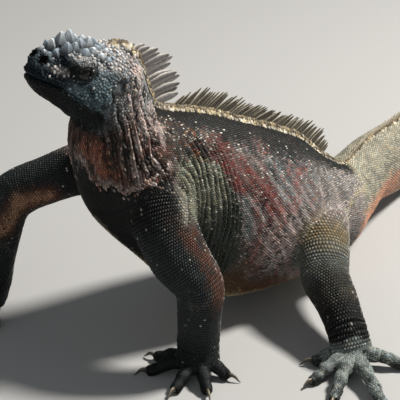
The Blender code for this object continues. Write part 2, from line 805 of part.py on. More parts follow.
def build():
    parts = new_collection("marine_iguana")
    workshop = new_collection("workshop")
    body = build_body(workshop)
    head = part_between(body, "head", None, NECK_TOP, parts)
    thinned(head, HEAD_TRIANGLES)
    thinned(body, BODY_TRIANGLES)
    point, way = NECK_TOP
    cut(head, point - way.normalized() * (SEAM / 2), way)
    cutter = grown(body, SEAM, "trunk cutter", workshop)
    for key in LIMBS:
        build_limb(key, cutter, workshop, parts)
    bpy.data.objects.remove(cutter)
    planes = [NECK_TOP, NECK_FOOT, VENT, *(tail_plane(f) for f in TAIL_CUTS), None]
    crest(head, None, NECK_TOP, workshop)
    horny_plates(head, workshop)
    names = ("neck", "torso", "tail_1", "tail_2", "tail_3", "tail_4")
    for name, ahead, behind in zip(names, planes, planes[1:]):
        made = part_between(body, name, ahead, behind, parts)
        cut(made, Vector((0, 0, 0)), -UP)
        crest(made, ahead, behind, workshop)
        made.data.materials.append(SURFACES[name.split("_")[0]])
    head.data.materials.append(SURFACES["head"])
    bpy.data.objects.remove(body)
    for side, name in ((1, "eye_left"), (-1, "eye_right")):
        eye = ball(name, (EYE[0], side * EYE[1], EYE[2]), (EYE_RADIUS,) * 3, parts, 10, 7)
        eye.data.transform(HEAD_PLACE)
        face_outward(eye.data)
        eye.data.materials.append(EYE_SURFACE)
        socket = grown(eye, SEAM, "eye socket", workshop)
        boolean(head, socket, "DIFFERENCE")
        bpy.data.objects.remove(socket)
    shift = Matrix.Translation((-BOX_MIDDLE_X, -BOX_MIDDLE_Y, 0))
    for part in parts.objects:
        part.data.transform(shift)
        part.data.shade_smooth()


clear_scene()
SURFACES = {name: material(name, *look) for name, look in SKIN.items()}
EYE_SURFACE = material("eye", *EYE_COLOUR)
CLAW = material("claw", *CLAW_COLOUR)
build()
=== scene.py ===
"""A life-size marine iguana as a museum shows it, standing with its chest raised on straight
forelegs. Metres, +Z up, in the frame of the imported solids: the head points to -X, the
animal's left side faces -Y and the tail lies along +X.
"""

import math
from types import SimpleNamespace

import bmesh
import bpy
import numpy as np
from mathutils import Matrix, Vector
from mathutils.bvhtree import BVHTree
from mathutils.kdtree import KDTree


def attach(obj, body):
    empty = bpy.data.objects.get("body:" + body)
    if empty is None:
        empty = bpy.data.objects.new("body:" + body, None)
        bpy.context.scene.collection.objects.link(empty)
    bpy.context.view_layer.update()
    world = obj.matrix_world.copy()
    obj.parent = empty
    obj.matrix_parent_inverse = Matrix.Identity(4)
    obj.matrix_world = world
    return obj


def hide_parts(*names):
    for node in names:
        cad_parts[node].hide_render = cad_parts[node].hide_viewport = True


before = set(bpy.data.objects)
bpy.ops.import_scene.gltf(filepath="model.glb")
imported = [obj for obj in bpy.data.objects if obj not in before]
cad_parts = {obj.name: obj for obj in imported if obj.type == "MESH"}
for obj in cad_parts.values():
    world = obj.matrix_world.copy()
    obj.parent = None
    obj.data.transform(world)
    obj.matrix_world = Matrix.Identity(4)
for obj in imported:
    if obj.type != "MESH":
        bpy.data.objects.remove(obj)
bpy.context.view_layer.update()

# The flesh. In life it is muscle and gut under one loose skin; a museum's maker builds it up
# as a manikin of rings along the head, trunk, tail and legs, and runs them together. It is
# laid out about the middle of the pelvis and then moved by SHIFT into the solids' frame.

HEAD_LENGTH = 0.077
TRUNK_HALF_WIDTH = 0.061
PELVIS_HEIGHT = 0.076
TAIL_LENGTH = 0.60
FLESH_GRAIN = 0.0012
LEFT = np.array((0.0, -1.0, 0.0))
UP = np.array((0.0, 0.0, 1.0))

HEAD_BASE = np.array((-0.237, 0.003, 0.266))
HEAD_PITCH = math.radians(20)
HEAD_FORWARD = np.array((-math.cos(HEAD_PITCH), 0, math.sin(HEAD_PITCH)))
HEAD_UP = np.array((math.sin(HEAD_PITCH), 0, math.cos(HEAD_PITCH)))
HEAD_AXES = np.array((HEAD_FORWARD, LEFT, HEAD_UP))
EYE = np.array((0.0383, 0.0208, 0.0050))
EYE_RADIUS = 0.0068

# Across the head: how far forward as a share of its length, the height of the middle, half
# width, height above and depth below
HEAD_ROWS = (
    (1.010, -0.0045, 0.0042, 0.0042, 0.0042),
    (0.975, -0.0045, 0.0090, 0.0085, 0.0092),
    (0.925, -0.0045, 0.0128, 0.0120, 0.0148),
    (0.850, -0.0040, 0.0165, 0.0150, 0.0200),
    (0.720, -0.0030, 0.0205, 0.0222, 0.0250),
    (0.580, -0.0020, 0.0235, 0.0245, 0.0308),
    (0.430, -0.0010, 0.0270, 0.0250, 0.0365),
    (0.270, -0.0010, 0.0300, 0.0250, 0.0395),
    (0.100, -0.0010, 0.0320, 0.0252, 0.0380),
    (-0.070, 0.000, 0.0320, 0.0255, 0.0350),
    (-0.220, -0.004, 0.0300, 0.0240, 0.0320),
)
# Across the neck and trunk: x, y, z of the middle, half width, height above and depth below
TRUNK_ROWS = (
    (-0.255, 0.003, 0.283, 0.022, 0.018, 0.020),
    (-0.240, 0.003, 0.264, 0.0315, 0.034, 0.0290),
    (-0.236, 0.002, 0.236, 0.0350, 0.040, 0.0305),
    (-0.229, 0.000, 0.206, 0.0415, 0.044, 0.0445),
    (-0.203, 0.000, 0.174, 0.056, 0.057, 0.066),
    (-0.158, 0.000, 0.144, TRUNK_HALF_WIDTH * 0.93, 0.067, 0.083),
    (-0.105, 0.000, 0.110, TRUNK_HALF_WIDTH, 0.0745, 0.0945),
    (-0.050, 0.000, 0.087, TRUNK_HALF_WIDTH * 0.93, 0.0690, 0.0765),
    (0.000, 0.000, PELVIS_HEIGHT, 0.046, 0.0455, 0.056),
)
# Across the tail: how far along as a share of its length, y and z of the middle, half width,
# height above and depth below
TAIL_ROWS = (
    (0.060, 0.012, 0.073, 0.0330, 0.0330, 0.0400),
    (0.150, 0.043, 0.069, 0.0250, 0.0380, 0.0385),
    (0.265, 0.080, 0.052, 0.0190, 0.0450, 0.0405),
    (0.400, 0.112, 0.036, 0.0145, 0.0360, 0.0320),
    (0.535, 0.128, 0.0230, 0.0110, 0.0250, 0.0236),
    (0.668, 0.122, 0.0155, 0.0082, 0.0150, 0.0160),
    (0.785, 0.100, 0.0115, 0.0062, 0.0110, 0.0120),
    (0.885, 0.079, 0.0080, 0.0045, 0.0080, 0.0085),
    (0.965, 0.068, 0.0048, 0.0030, 0.0050, 0.0053),
    (1.000, 0.066, 0.0032, 0.0018, 0.0030, 0.0034),
)
# Along each leg: x, y, z of the bone's line and three radii, from inside the trunk to the sole
LEG_ROWS = {
    "left_arm": (
        (-0.200, -0.024, 0.164, 0.030, 0.032, 0.032),
        (-0.213, -0.048, 0.142, 0.028, 0.029, 0.029),
        (-0.211, -0.069, 0.114, 0.0265, 0.0265, 0.0265),
        (-0.2005, -0.0855, 0.088, 0.0218, 0.0222, 0.0226),
        (-0.2000, -0.0860, 0.058, 0.0190, 0.0195, 0.0195),
        (-0.2005, -0.0850, 0.026, 0.0182, 0.0187, 0.0187),
        (-0.202, -0.087, 0.010, 0.0200, 0.0190, 0.0190),
    ),
    "right_arm": (
        (-0.200, 0.024, 0.164, 0.028, 0.030, 0.030),
        (-0.222, 0.048, 0.158, 0.0250, 0.0255, 0.0260),
        (-0.254, 0.074, 0.142, 0.0215, 0.0215, 0.0215),
        (-0.284, 0.099, 0.119, 0.0205, 0.0215, 0.0215),
        (-0.295, 0.110, 0.072, 0.0195, 0.0200, 0.0200),
        (-0.300, 0.117, 0.028, 0.0180, 0.0185, 0.0185),
        (-0.305, 0.119, 0.010, 0.0200, 0.0185, 0.0185),
    ),
    "left_leg": (
        (-0.011, -0.016, 0.080, 0.023, 0.025, 0.025),
        (-0.033, -0.046, 0.077, 0.0240, 0.0255, 0.0255),
        (-0.0505, -0.070, 0.066, 0.0235, 0.0245, 0.0245),
        (-0.061, -0.087, 0.053, 0.0218, 0.0225, 0.0225),
        (-0.068, -0.113, 0.043, 0.0192, 0.0195, 0.0195),
        (-0.0775, -0.141, 0.030, 0.0175, 0.0170, 0.0170),
        (-0.080, -0.154, 0.012, 0.0190, 0.0150, 0.0150),
    ),
    "right_leg": (
        (-0.010, 0.016, 0.080, 0.023, 0.025, 0.025),
        (-0.029, 0.048, 0.077, 0.0240, 0.0255, 0.0255),
        (-0.0455, 0.074, 0.066, 0.0235, 0.0245, 0.0245),
        (-0.054, 0.093, 0.053, 0.0218, 0.0225, 0.0225),
        (-0.038, 0.119, 0.043, 0.0192, 0.0195, 0.0195),
        (-0.0265, 0.141, 0.030, 0.0175, 0.0170, 0.0170),
        (-0.026, 0.152, 0.012, 0.0190, 0.0150, 0.0150),
    ),
}
# Each digit's angle about +Z in degrees and its length with the claw, from the innermost out
DIGITS = {
    "left_arm": ((118, 0.054), (152, 0.056), (206, 0.052), (248, 0.050), (300, 0.040)),
    "right_arm": ((256, 0.046), (218, 0.054), (184, 0.058), (150, 0.054), (108, 0.042)),
    "left_leg": ((148, 0.046), (188, 0.062), (218, 0.078), (252, 0.096), (316, 0.060)),
    "right_leg": ((205, 0.046), (176, 0.062), (148, 0.078), (118, 0.096), (62, 0.060)),
}
DIGIT_RADIUS = 0.0054
KNUCKLE_HEIGHT = 0.0125
TOE_HEIGHT = 0.0036
CLAW_LENGTH = 0.014
# How far along the flesh of a digit, the height of its middle there and its radius
DIGIT_ROWS = (
    (0.00, 0.0110, DIGIT_RADIUS * 1.7),
    (0.22, KNUCKLE_HEIGHT * 0.98, DIGIT_RADIUS * 1.32),
    (0.38, KNUCKLE_HEIGHT, DIGIT_RADIUS * 1.28),
    (0.50, KNUCKLE_HEIGHT * 0.94, DIGIT_RADIUS * 1.02),
    (0.64, KNUCKLE_HEIGHT * 0.82, DIGIT_RADIUS * 1.10),
    (0.76, KNUCKLE_HEIGHT * 0.58, DIGIT_RADIUS * 0.92),
    (0.88, TOE_HEIGHT * 1.45, DIGIT_RADIUS * 0.96),
    (1.00, TOE_HEIGHT, DIGIT_RADIUS * 0.80),
)
# Muscles and bulges that the rings leave out: place in the head's frame and three radii
HEAD_LUMPS = (
    ((0.012, 0.0215, -0.0120), (0.020, 0.0130, 0.0160)),
    ((0.040, 0.0172, 0.0118), (0.018, 0.0080, 0.0062)),
    ((0.065, 0.0075, 0.0045), (0.0095, 0.0072, 0.0078)),
)


def through(rows, steps):
    """Rows of numbers read smoothly, with this many steps between each two."""
    rows = np.array(rows, float)
    ends = np.vstack([2 * rows[0] - rows[1], rows, 2 * rows[-1] - rows[-2]])
    part = np.linspace(0, 1, steps, endpoint=False)[:, None]
    spans = []
    for before, here, after, beyond in zip(ends, ends[1:], ends[2:], ends[3:]):
        bend = 2 * before - 5 * here + 4 * after - beyond
        twist = 3 * here - before - 3 * after + beyond
        spans.append(0.5 * (2 * here + (after - before) * part + bend * part**2 + twist * part**3))
    return np.vstack([*spans, rows[-1:]])


def lengths_along(line):
    """How far along a line each of its points is."""
    step = np.linalg.norm(np.diff(line, axis=0), axis=1)
    return np.concatenate([[0], np.cumsum(step)])


def form_of(rows, side=LEFT, steps=10, back=2.0, belly=2.2):
    """A row of rounded rings: its line, the way on, its left and its dorsal direction."""
    line = through(rows, steps)
    onward = np.gradient(line[:, :3], axis=0)
    onward /= np.linalg.norm(onward, axis=1)[:, None]
    left = side - (onward @ side)[:, None] * onward
    left /= np.linalg.norm(left, axis=1)[:, None]
    dorsal = np.cross(left, onward)
    return SimpleNamespace(line=line, onward=onward, left=left, dorsal=dorsal,
                           length=lengths_along(line[:, :3]), back=back, belly=belly)


def read(form, table, along):
    """A table of the form's line read at these lengths along it."""
    return np.stack([np.interp(along, form.length, column) for column in table.T], -1)


def rounded(value, power):
    return np.sign(value) * np.abs(value) ** (2 / power)


def surface(form, along, turn):
    """Points on the form: turn 0 is its left side and a quarter turn its back."""
    line = read(form, form.line, along)
    half, above, below = line[..., 3], line[..., 4], line[..., 5]
    rise = np.sin(turn)
    power = np.where(rise > 0, form.back, form.belly)
    across = rounded(np.cos(turn), power) * half
    lift = rounded(rise, power) * np.where(rise > 0, above, below)
    left = read(form, form.left, along)
    dorsal = read(form, form.dorsal, along)
    return line[..., :3] + left * across[..., None] + dorsal * lift[..., None]


def turns(sides):
    """Even steps once round."""
    return np.linspace(0, 2 * math.pi, sides, endpoint=False)


def tube(form, sides):
    """The form's closed mesh: points and faces."""
    turn = turns(sides)
    points = surface(form, form.length[:, None], turn[None]).reshape(-1, 3)
    rings = len(form.length)
    here = np.arange(sides)
    after = (here + 1) % sides
    faces = []
    for ring in range(rings - 1):
        low = ring * sides
        high = low + sides
        faces += np.stack([low + here, low + after, high + after, high + here], 1).tolist()
    faces.append(here[::-1].tolist())
    faces.append(((rings - 1) * sides + here).tolist())
    return points, faces


def ball(centre, radii, axes, sides=24):
    """A closed oval, its radii along three axes."""
    bm = bmesh.new()
    bmesh.ops.create_uvsphere(bm, u_segments=sides, v_segments=sides * 2 // 3, radius=1)
    points = np.array([vert.co for vert in bm.verts]) * radii @ axes + centre
    faces = [[vert.index for vert in face.verts] for face in bm.faces]
    bm.free()
    return points, faces


def in_head(at):
    """World places of points given in the head's frame: forward, to its left, up."""
    return HEAD_BASE + np.asarray(at) @ HEAD_AXES


def digit_form(middle, angle, length):
    """A digit over its knuckles to the root of its claw, and the way it points."""
    way = np.array((math.cos(math.radians(angle)), math.sin(math.radians(angle)), 0))
    flesh = length - CLAW_LENGTH * 0.7
    rows = []
    for share, height, radius in DIGIT_ROWS:
        at = (middle[0] + way[0] * flesh * share, middle[1] + way[1] * flesh * share, height)
        rows.append((*at, radius, radius, radius))
    return form_of(rows, np.cross(way, UP), 4, belly=2.0), way


trunk_and_tail = [(share * TAIL_LENGTH, *rest) for share, *rest in TAIL_ROWS]
body = form_of([*TRUNK_ROWS, *trunk_and_tail], steps=14, back=1.9)
head = form_of(
    [(*in_head((share * HEAD_LENGTH, 0, middle)), *radii) for share, middle, *radii in HEAD_ROWS],
    back=2.1, belly=2.3)
legs = {}
digits = {}
for name, rows in LEG_ROWS.items():
    side = np.cross(np.subtract(rows[-1][:3], rows[0][:3]), UP)
    legs[name] = form_of(rows, side / np.linalg.norm(side), belly=2.0)
    digits[name] = [digit_form(rows[-1], angle, length) for angle, length in DIGITS[name]]

pieces = [tube(head, 72), tube(body, 96)]
pieces += [tube(leg, 48) for leg in legs.values()]
pieces += [tube(digit, 20) for group in digits.values() for digit, _ in group]
for side in (1, -1):
    for at, radii in HEAD_LUMPS:
        pieces.append(ball(in_head(np.multiply(at, (1, side, 1))), radii, HEAD_AXES))

SHIFT = np.array((-0.1170, 0.0045, 0.0))


def linked(name, data):
    """A new object of the scene with this mesh, lamp or camera."""
    made = bpy.data.objects.new(name, data)
    bpy.context.scene.collection.objects.link(made)
    return made


def mesh_object(name, points, faces):
    mesh = bpy.data.meshes.new(name)
    mesh.from_pydata(np.asarray(points).tolist(), [], faces)
    mesh.shade_smooth()
    return linked(name, mesh)


def settle(obj):
    """The object's modifiers worked into its mesh."""
    graph = bpy.context.evaluated_depsgraph_get()
    mesh = bpy.data.meshes.new_from_object(obj.evaluated_get(graph))
    old = obj.data
    obj.modifiers.clear()
    obj.data = mesh
    bpy.data.meshes.remove(old)
    return obj


def melted(name, pieces, grain, smoothing):
    """Closed pieces run together into one smooth surface."""
    points = np.vstack([part for part, _ in pieces])
    faces = []
    start = 0
    for part, its_faces in pieces:
        faces += [[start + corner for corner in face] for face in its_faces]
        start += len(part)
    made = mesh_object(name, points, faces)
    remesh = made.modifiers.new("grain", "REMESH")
    remesh.mode = "VOXEL"
    remesh.voxel_size = grain
    smooth = made.modifiers.new("smooth", "SMOOTH")
    smooth.factor = 0.5
    smooth.iterations = smoothing
    return settle(made)


skin = melted("skin", pieces, FLESH_GRAIN, 8)

# The skin's folds. The living skin is loose and dry: it hangs in folds down the neck to a
# ragged collar over the chest, wrinkles behind the shoulder and creases at each joint. They
# are worked into the manikin's surface, each as a low swelling or a groove.


def points_of(mesh):
    flat = np.empty(len(mesh.vertices) * 3)
    mesh.vertices.foreach_get("co", flat)
    return flat.reshape(-1, 3)


def normals_of(mesh):
    flat = np.empty(len(mesh.vertices) * 3, np.float32)
    mesh.vertex_normals.foreach_get("vector", flat)
    return flat.reshape(-1, 3).astype(float)


def place_points(mesh, points):
    mesh.vertices.foreach_set("co", np.ascontiguousarray(points).ravel())
    mesh.update()


def nearest_ring(points, form):
    """For each point the nearest place on the form's line: its length along, its distance as
    a share of the form's size there, and its turn."""
    line = form.line[:, :3].astype(np.float32)
    nearest = np.empty(len(points), int)
    batch = 20000
    for start in range(0, len(points), batch):
        some = points[start:start + batch].astype(np.float32)
        away = (some**2).sum(1)[:, None] - 2 * some @ line.T + (line**2).sum(1)[None]
        nearest[start:start + batch] = away.argmin(1)
    offset = points - form.line[nearest, :3]
    left = (offset * form.left[nearest]).sum(1)
    up = (offset * form.dorsal[nearest]).sum(1)
    half, above, below = form.line[nearest, 3:6].T
    share = np.hypot(left / half, up / np.where(up > 0, above, below))
    return form.length[nearest], share, np.arctan2(up, left)


def ramp(value, low, high):
    """0 below low, 1 past high, and smooth between; high may be the lower one."""
    part = np.clip((value - low) / (high - low), 0, 1)
    return part * part * (3 - 2 * part)


def mound(distance, width):
    return np.exp(-((distance / width) ** 2))


def distance_to(points, line):
    """How far each point is from a line of straight stretches."""
    line = np.array(line, float)
    nearest = np.full(len(points), np.inf)
    for start, stop in zip(line, line[1:]):
        way = stop - start
        part = np.clip((points - start) @ way / (way @ way), 0, 1)
        nearest = np.minimum(nearest, np.linalg.norm(points - start - part[:, None] * way, axis=1))
    return nearest


HASH = (73856093, 19349663, 83492791, 2654435761)


def cloud(points, size, seed):
    """Soft random blotches of about this size, from -1 to 1."""
    cell = np.asarray(points) / size
    low = np.floor(cell).astype(np.int64)
    part = cell - low
    part = part * part * (3 - 2 * part)
    total = np.zeros(len(low))
    for corner in np.ndindex(2, 2, 2):
        at = low + corner
        mixed = at[:, 0] * HASH[0] ^ at[:, 1] * HASH[1] ^ at[:, 2] * HASH[2] ^ seed * HASH[3]
        mixed = (mixed ^ mixed >> 13) * HASH[3]
        value = (mixed >> 15 & 0xFFFF) / 0x7FFF - 1
        total += value * np.prod(np.where(corner, part, 1 - part), axis=1)
    return total


def mirrored(points):
    """The points with the right side folded over the left."""
    return points * (1, 0, 1) + np.abs(points[:, 1:2]) * (0, 1, 0)


def to_head(points):
    """Points in the head's frame, with its right side folded over its left."""
    return mirrored((points - HEAD_BASE) @ HEAD_AXES.T)


MOUTH = (
    (0.084, 0, -0.0090), (0.070, 0, -0.0095), (0.055, 0, -0.0120), (0.042, 0, -0.0160),
    (0.030, 0, -0.0210),
)
LIP = (0, 0, 0.0036)
NOSTRIL = (0.0712, 0.0080, 0.0072)
EARDRUM = (0.004, 0.0325, 0.000)
LID_ASPECT = (1.25, 1, 1)
DRUM_ASPECT = (1, 1, 1.35)


def away_from(local, place, aspect=(1, 1, 1)):
    """How far points of the head are from a place in its frame, for an oval of this aspect."""
    return np.linalg.norm((local - place) / aspect, axis=1)


def mouth_height(forward):
    """The height of the mouth's line at these places along the head."""
    return np.interp(forward, *np.array(MOUTH[::-1]).T[[0, 2]])


def carve_head(points):
    """The mouth and lips, lids, nostrils, eardrums and the hollow before the eye."""
    local = to_head(points)
    line = np.array(MOUTH)
    profile = local * (1, 0, 1)
    mouth = distance_to(profile, line)
    lips = np.minimum(distance_to(profile, line + LIP), distance_to(profile, line - LIP))
    amount = 0.0009 * mound(lips, 0.0018) - 0.0026 * mound(mouth, 0.0011)
    eye = away_from(local, EYE, LID_ASPECT)
    over = local[:, 2] > EYE[2]
    amount += np.where(over, 0.0022, 0.0015) * mound(eye - EYE_RADIUS * 1.10, 0.0013)
    amount -= 0.0007 * mound(eye - EYE_RADIUS * 1.45, 0.0012)
    amount += 0.0007 * mound(eye - EYE_RADIUS * 1.75, 0.0012)
    nostril = away_from(local, NOSTRIL)
    amount += 0.0012 * mound(nostril - 0.0054, 0.0016) - 0.0066 * mound(nostril, 0.0032)
    drum = away_from(local, EARDRUM, DRUM_ASPECT)
    amount += 0.0010 * mound(drum - 0.0060, 0.0014) - 0.0018 * mound(drum, 0.0045)
    return np.where(local[:, 0] > -0.014, amount, 0)


NECK_AXIS = np.array(((-0.240, 0.003, 0.264), (-0.228, 0, 0.206)))
COLLAR = np.array(((-0.276, 0.206), (-0.270, 0.197), (-0.266, 0.185), (-0.261, 0.176), (-0.250, 0.173),
                   (-0.237, 0.172), (-0.215, 0.181), (-0.175, 0.194)))
FOLDS_ROUND = 15
# The long folds down the left side of the neck, from its back edge forward
NECK_FOLDS = (
    ((-0.227, 0.028, 0.258), (-0.224, 0.033, 0.235), (-0.221, 0.038, 0.217), (-0.221, 0.044, 0.203),
     (-0.215, 0.047, 0.189)),
    ((-0.234, 0.027, 0.256), (-0.234, 0.032, 0.240), (-0.232, 0.037, 0.222), (-0.230, 0.041, 0.205),
     (-0.227, 0.045, 0.186)),
    ((-0.242, 0.027, 0.256), (-0.241, 0.031, 0.240), (-0.239, 0.036, 0.222), (-0.237, 0.039, 0.204),
     (-0.236, 0.043, 0.180)),
    ((-0.249, 0.028, 0.262), (-0.248, 0.030, 0.240), (-0.247, 0.033, 0.222), (-0.246, 0.036, 0.204),
     (-0.244, 0.039, 0.178)),
    ((-0.256, 0.024, 0.245), (-0.256, 0.028, 0.226), (-0.254, 0.031, 0.206), (-0.252, 0.033, 0.180)),
)
FOLD_RISE = 0.0022
FOLD_WIDTH = 0.0017
FOLD_SPACING = 0.0072


def fold_distance(points):
    """How far each point is from the top of the nearest long fold of the neck."""
    near = mirrored(points) + 0.0018 * cloud(points, 0.011, 3)[:, None] * (1, 0, 0)
    return np.min([distance_to(near, line) for line in NECK_FOLDS], axis=0)


def collar_level(points):
    """How far each point is above the ragged lower edge of the neck's skin."""
    ragged = 0.0048 * cloud(points * (1, 1, 0.25), 0.0048, 5) + 0.0030 * cloud(points, 0.014, 6)
    return points[:, 2] + ragged - np.interp(points[:, 0], *COLLAR.T)


def neck_place(points):
    """How far down the neck each point is, and its angle round the neck from the throat."""
    top, foot = NECK_AXIS
    down = (top[2] - points[:, 2]) / (top[2] - foot[2])
    centre = top + np.clip(down, 0, 1.5)[:, None] * (foot - top)
    return down, np.arctan2(points[:, 1] - centre[:, 1], centre[:, 0] - points[:, 0])


def fold_wave(points):
    """The neck's upright folds, from -1 in a groove to 1 on a crest."""
    _, angle = neck_place(points)
    sway = 0.22 * cloud(points * (1, 1, 0.35), 0.018, 3)
    return np.sin(FOLDS_ROUND * (angle + sway)) + 0.45 * np.sin(2.3 * FOLDS_ROUND * (angle - sway))


def fold_neck(points):
    down, _ = neck_place(points)
    ahead = ramp(points[:, 0], -0.185, -0.200) * (points[:, 2] > 0.13)
    reach = ramp(down, -0.20, 0.25) * ramp(down, 1.50, 1.10)
    long = fold_distance(points)
    folds = FOLD_RISE * (mound(long, FOLD_WIDTH) - 0.7 * mound(long - FOLD_SPACING / 2, FOLD_WIDTH))
    folds += 0.0006 * fold_wave(points) * reach
    level = collar_level(points)
    lip = 0.0014 * mound(level - 0.0028, 0.0032) - 0.0018 * mound(level + 0.0020, 0.0020)
    lip *= ramp(points[:, 0], -0.266, -0.256) * ramp(points[:, 0], -0.228, -0.238)
    return ahead * (folds + lip)


# The fold of skin behind the left arm: the groove, painted black as shadow, and the thick rim before it,
# painted pale as highlight
ARM_GROOVE = ((-0.201, -0.057, 0.172), (-0.196, -0.059, 0.167), (-0.194, -0.061, 0.161),
              (-0.196, -0.067, 0.156), (-0.199, -0.072, 0.151), (-0.204, -0.077, 0.147))
ARM_RIM = ((-0.206, -0.058, 0.171), (-0.206, -0.064, 0.166), (-0.206, -0.069, 0.161),
           (-0.207, -0.073, 0.156), (-0.210, -0.078, 0.150))


def fold_armpit(points):
    groove = mound(distance_to(points, ARM_GROOVE), 0.0034)
    rim = mound(distance_to(points, ARM_RIM), 0.0048)
    return 0.0024 * rim - 0.0026 * groove


SHOULDER = np.array((-0.207, 0.060, 0.140))
WRINKLE_STEP = 0.0046


def flank_waves(points):
    """Curved folds round the back of the shoulder, from -1 in a groove to 1 on a crest."""
    offset = (points - SHOULDER) * (1, 0, 0.42)
    away = np.linalg.norm(offset, axis=1) + 0.0030 * cloud(points * (1, 1, 0.35), 0.016, 7)
    away += 0.0014 * cloud(points * (1, 1, 0.4), 0.007, 8)
    behind = ramp(offset[:, 0], 0.004, 0.016) * ramp(away, 0.018, 0.026) * ramp(away, 0.078, 0.058)
    patchy = 0.35 + 0.65 * ramp(cloud(points * (1, 1, 0.5), 0.010, 10), -0.5, 0.3)
    return np.sin(away / WRINKLE_STEP * 2 * math.pi) * behind * patchy


def wrinkle_flank(points, turn):
    """The folds behind the shoulder, and faint slanting ones on the flank."""
    side = ramp(np.abs(np.sin(turn)), 0.93, 0.70)
    waves = flank_waves(points)
    slant = points[:, 0] + 0.55 * points[:, 2] + 0.004 * cloud(points, 0.025, 9)
    flank = ramp(points[:, 0], -0.15, -0.12) * ramp(points[:, 0], -0.02, -0.05)
    faint = np.sin(slant / 0.011 * 2 * math.pi) * flank
    return side * (0.0011 * waves + 0.0004 * faint)


CREASES = {"arm": ((0.50, 0.10, 0.0002), (0.88, 0.05, 0.0006)),
           "leg": ((0.52, 0.09, 0.0002), (0.90, 0.06, 0.0009))}
CREASE_STEP = 0.0042


def crease_joints(points, places):
    """Rings of creases at the elbow or knee and at the wrist or ankle."""
    amount = np.zeros(len(points))
    for name, (along, share, _) in places.items():
        form = legs[name]
        part = along / form.length[-1]
        on_leg = ramp(share, 1.5, 1.25) * ramp(part, 0.30, 0.42)
        for centre, reach, height in CREASES[name.split("_")[1]]:
            wave = np.sin((along + 0.0012 * cloud(points, 0.012, 11)) / CREASE_STEP * 2 * math.pi)
            amount += height * wave * mound(part - centre, reach) * on_leg
    return amount


def edges_of(mesh):
    flat = np.empty(len(mesh.edges) * 2, np.int32)
    mesh.edges.foreach_get("vertices", flat)
    return flat.reshape(-1, 2)


def relaxed(points, edges, weight, rounds):
    """Points drawn towards the middle of their neighbours, by weight."""
    ends = np.concatenate([edges[:, 0], edges[:, 1]])
    others = np.concatenate([edges[:, 1], edges[:, 0]])
    count = np.bincount(ends, minlength=len(points))[:, None]
    for _ in range(rounds):
        total = np.stack([np.bincount(ends, points[others, i], len(points)) for i in range(3)], 1)
        points = points + weight[:, None] * (total / count - points)
    return points


JOIN_ROUNDS = 60
base = points_of(skin.data)
edges = edges_of(skin.data)
_, body_share, _ = nearest_ring(base, body)
leg_places = {name: nearest_ring(base, leg) for name, leg in legs.items()}
join = np.zeros(len(base))
for along, share, _ in leg_places.values():
    join = np.maximum(join, mound(share - 1.05, 0.30) * ramp(along, 0.110, 0.080))
join *= mound(body_share - 1.05, 0.35)
base = relaxed(base, edges, 0.9 * join, JOIN_ROUNDS)
place_points(skin.data, base)

_, _, body_turn = nearest_ring(base, body)
leg_places = {name: nearest_ring(base, leg) for name, leg in legs.items()}
on_leg = np.max([ramp(share, 1.5, 1.15) * ramp(along, 0.03, 0.06)
                 for along, share, _ in leg_places.values()], axis=0)
normals = normals_of(skin.data)
amount = carve_head(base) + (1 - on_leg) * (fold_neck(base) + wrinkle_flank(base, body_turn))
amount += crease_joints(base, leg_places) + fold_armpit(base)
amount += 0.00025 * cloud(base, 0.004, 13)
base = base + normals * amount[:, None]
base[:, 2] = np.maximum(base[:, 2], 0)
place_points(skin.data, base)

# The skin's colours. A breeding male is black, brick red and olive, with pale grains on the
# back, a slate head crusted white, black chest and hands and an olive tail. Each is laid over
# the one before it through a soft mask, and the scales later take the same colours.

JET = (0.008, 0.009, 0.008)
BLACK = (0.024, 0.025, 0.022)
ARM_BLACK = (0.026, 0.031, 0.031)
# Painted light: the tan laid on the right arm's band, where light falls on it
ARM_PAINTED_LIGHT = (0.400, 0.230, 0.140)
BACK_GREY = (0.115, 0.112, 0.100)
BRICK = (0.165, 0.045, 0.037)
PINK = (0.400, 0.160, 0.135)
ROSE = (0.290, 0.110, 0.100)
ORANGE = (0.330, 0.120, 0.050)
RUST = (0.112, 0.046, 0.028)
OLIVE = (0.285, 0.280, 0.205)
DEEP_OLIVE = (0.036, 0.044, 0.036)
FLANK_MAUVE = (0.235, 0.198, 0.185)
BLUE_GREY = (0.180, 0.215, 0.220)
BELLY_RUST = (0.085, 0.038, 0.014)
BELLY_PALE = (0.400, 0.340, 0.200)
# Painted shade: the black inside each nostril
NOSTRIL_SHADE = (0.001, 0.001, 0.001)
NECK_BROWN = (0.070, 0.036, 0.026)
NECK_RED = (0.200, 0.076, 0.048)
NECK_PALE = (0.640, 0.520, 0.470)
PELVIS_MAUVE = (0.330, 0.290, 0.270)
SHED_EDGE = (0.520, 0.450, 0.280)
TAIL_OLIVE = (0.375, 0.350, 0.265)
TAIL_UNDER = (0.620, 0.300, 0.185)
THIGH_GOLD = (0.200, 0.160, 0.095)
THIGH_GREY = (0.180, 0.190, 0.168)
SHIN_BLACK = (0.030, 0.030, 0.026)
FOOT_GREY = (0.245, 0.275, 0.258)
HAND_BLACK = (0.012, 0.016, 0.016)
SLATE = (0.100, 0.142, 0.156)
SNOUT_TEAL = (0.011, 0.019, 0.025)
CROWN_CRUST = (0.500, 0.480, 0.470)
CRUST_PATCH = (0.380, 0.350, 0.330)
EAR_GREY = (0.220, 0.230, 0.232)
RIM_CREAM = (0.340, 0.300, 0.210)
# Painted highlight: the pale of the rim behind the left arm
ARM_RIM_HIGHLIGHT = (0.400, 0.380, 0.310)
NECK_GREY = (0.230, 0.245, 0.248)
NECK_ROSE = (0.540, 0.430, 0.395)
PALE_MAUVE = (0.430, 0.390, 0.375)
SLATE_PALE = (0.200, 0.270, 0.300)

# Along X, where the trunk's colours stop and the neck's are full
NECK_FOOT = (-0.196, -0.212)
CHIN_HEIGHT = 0.225
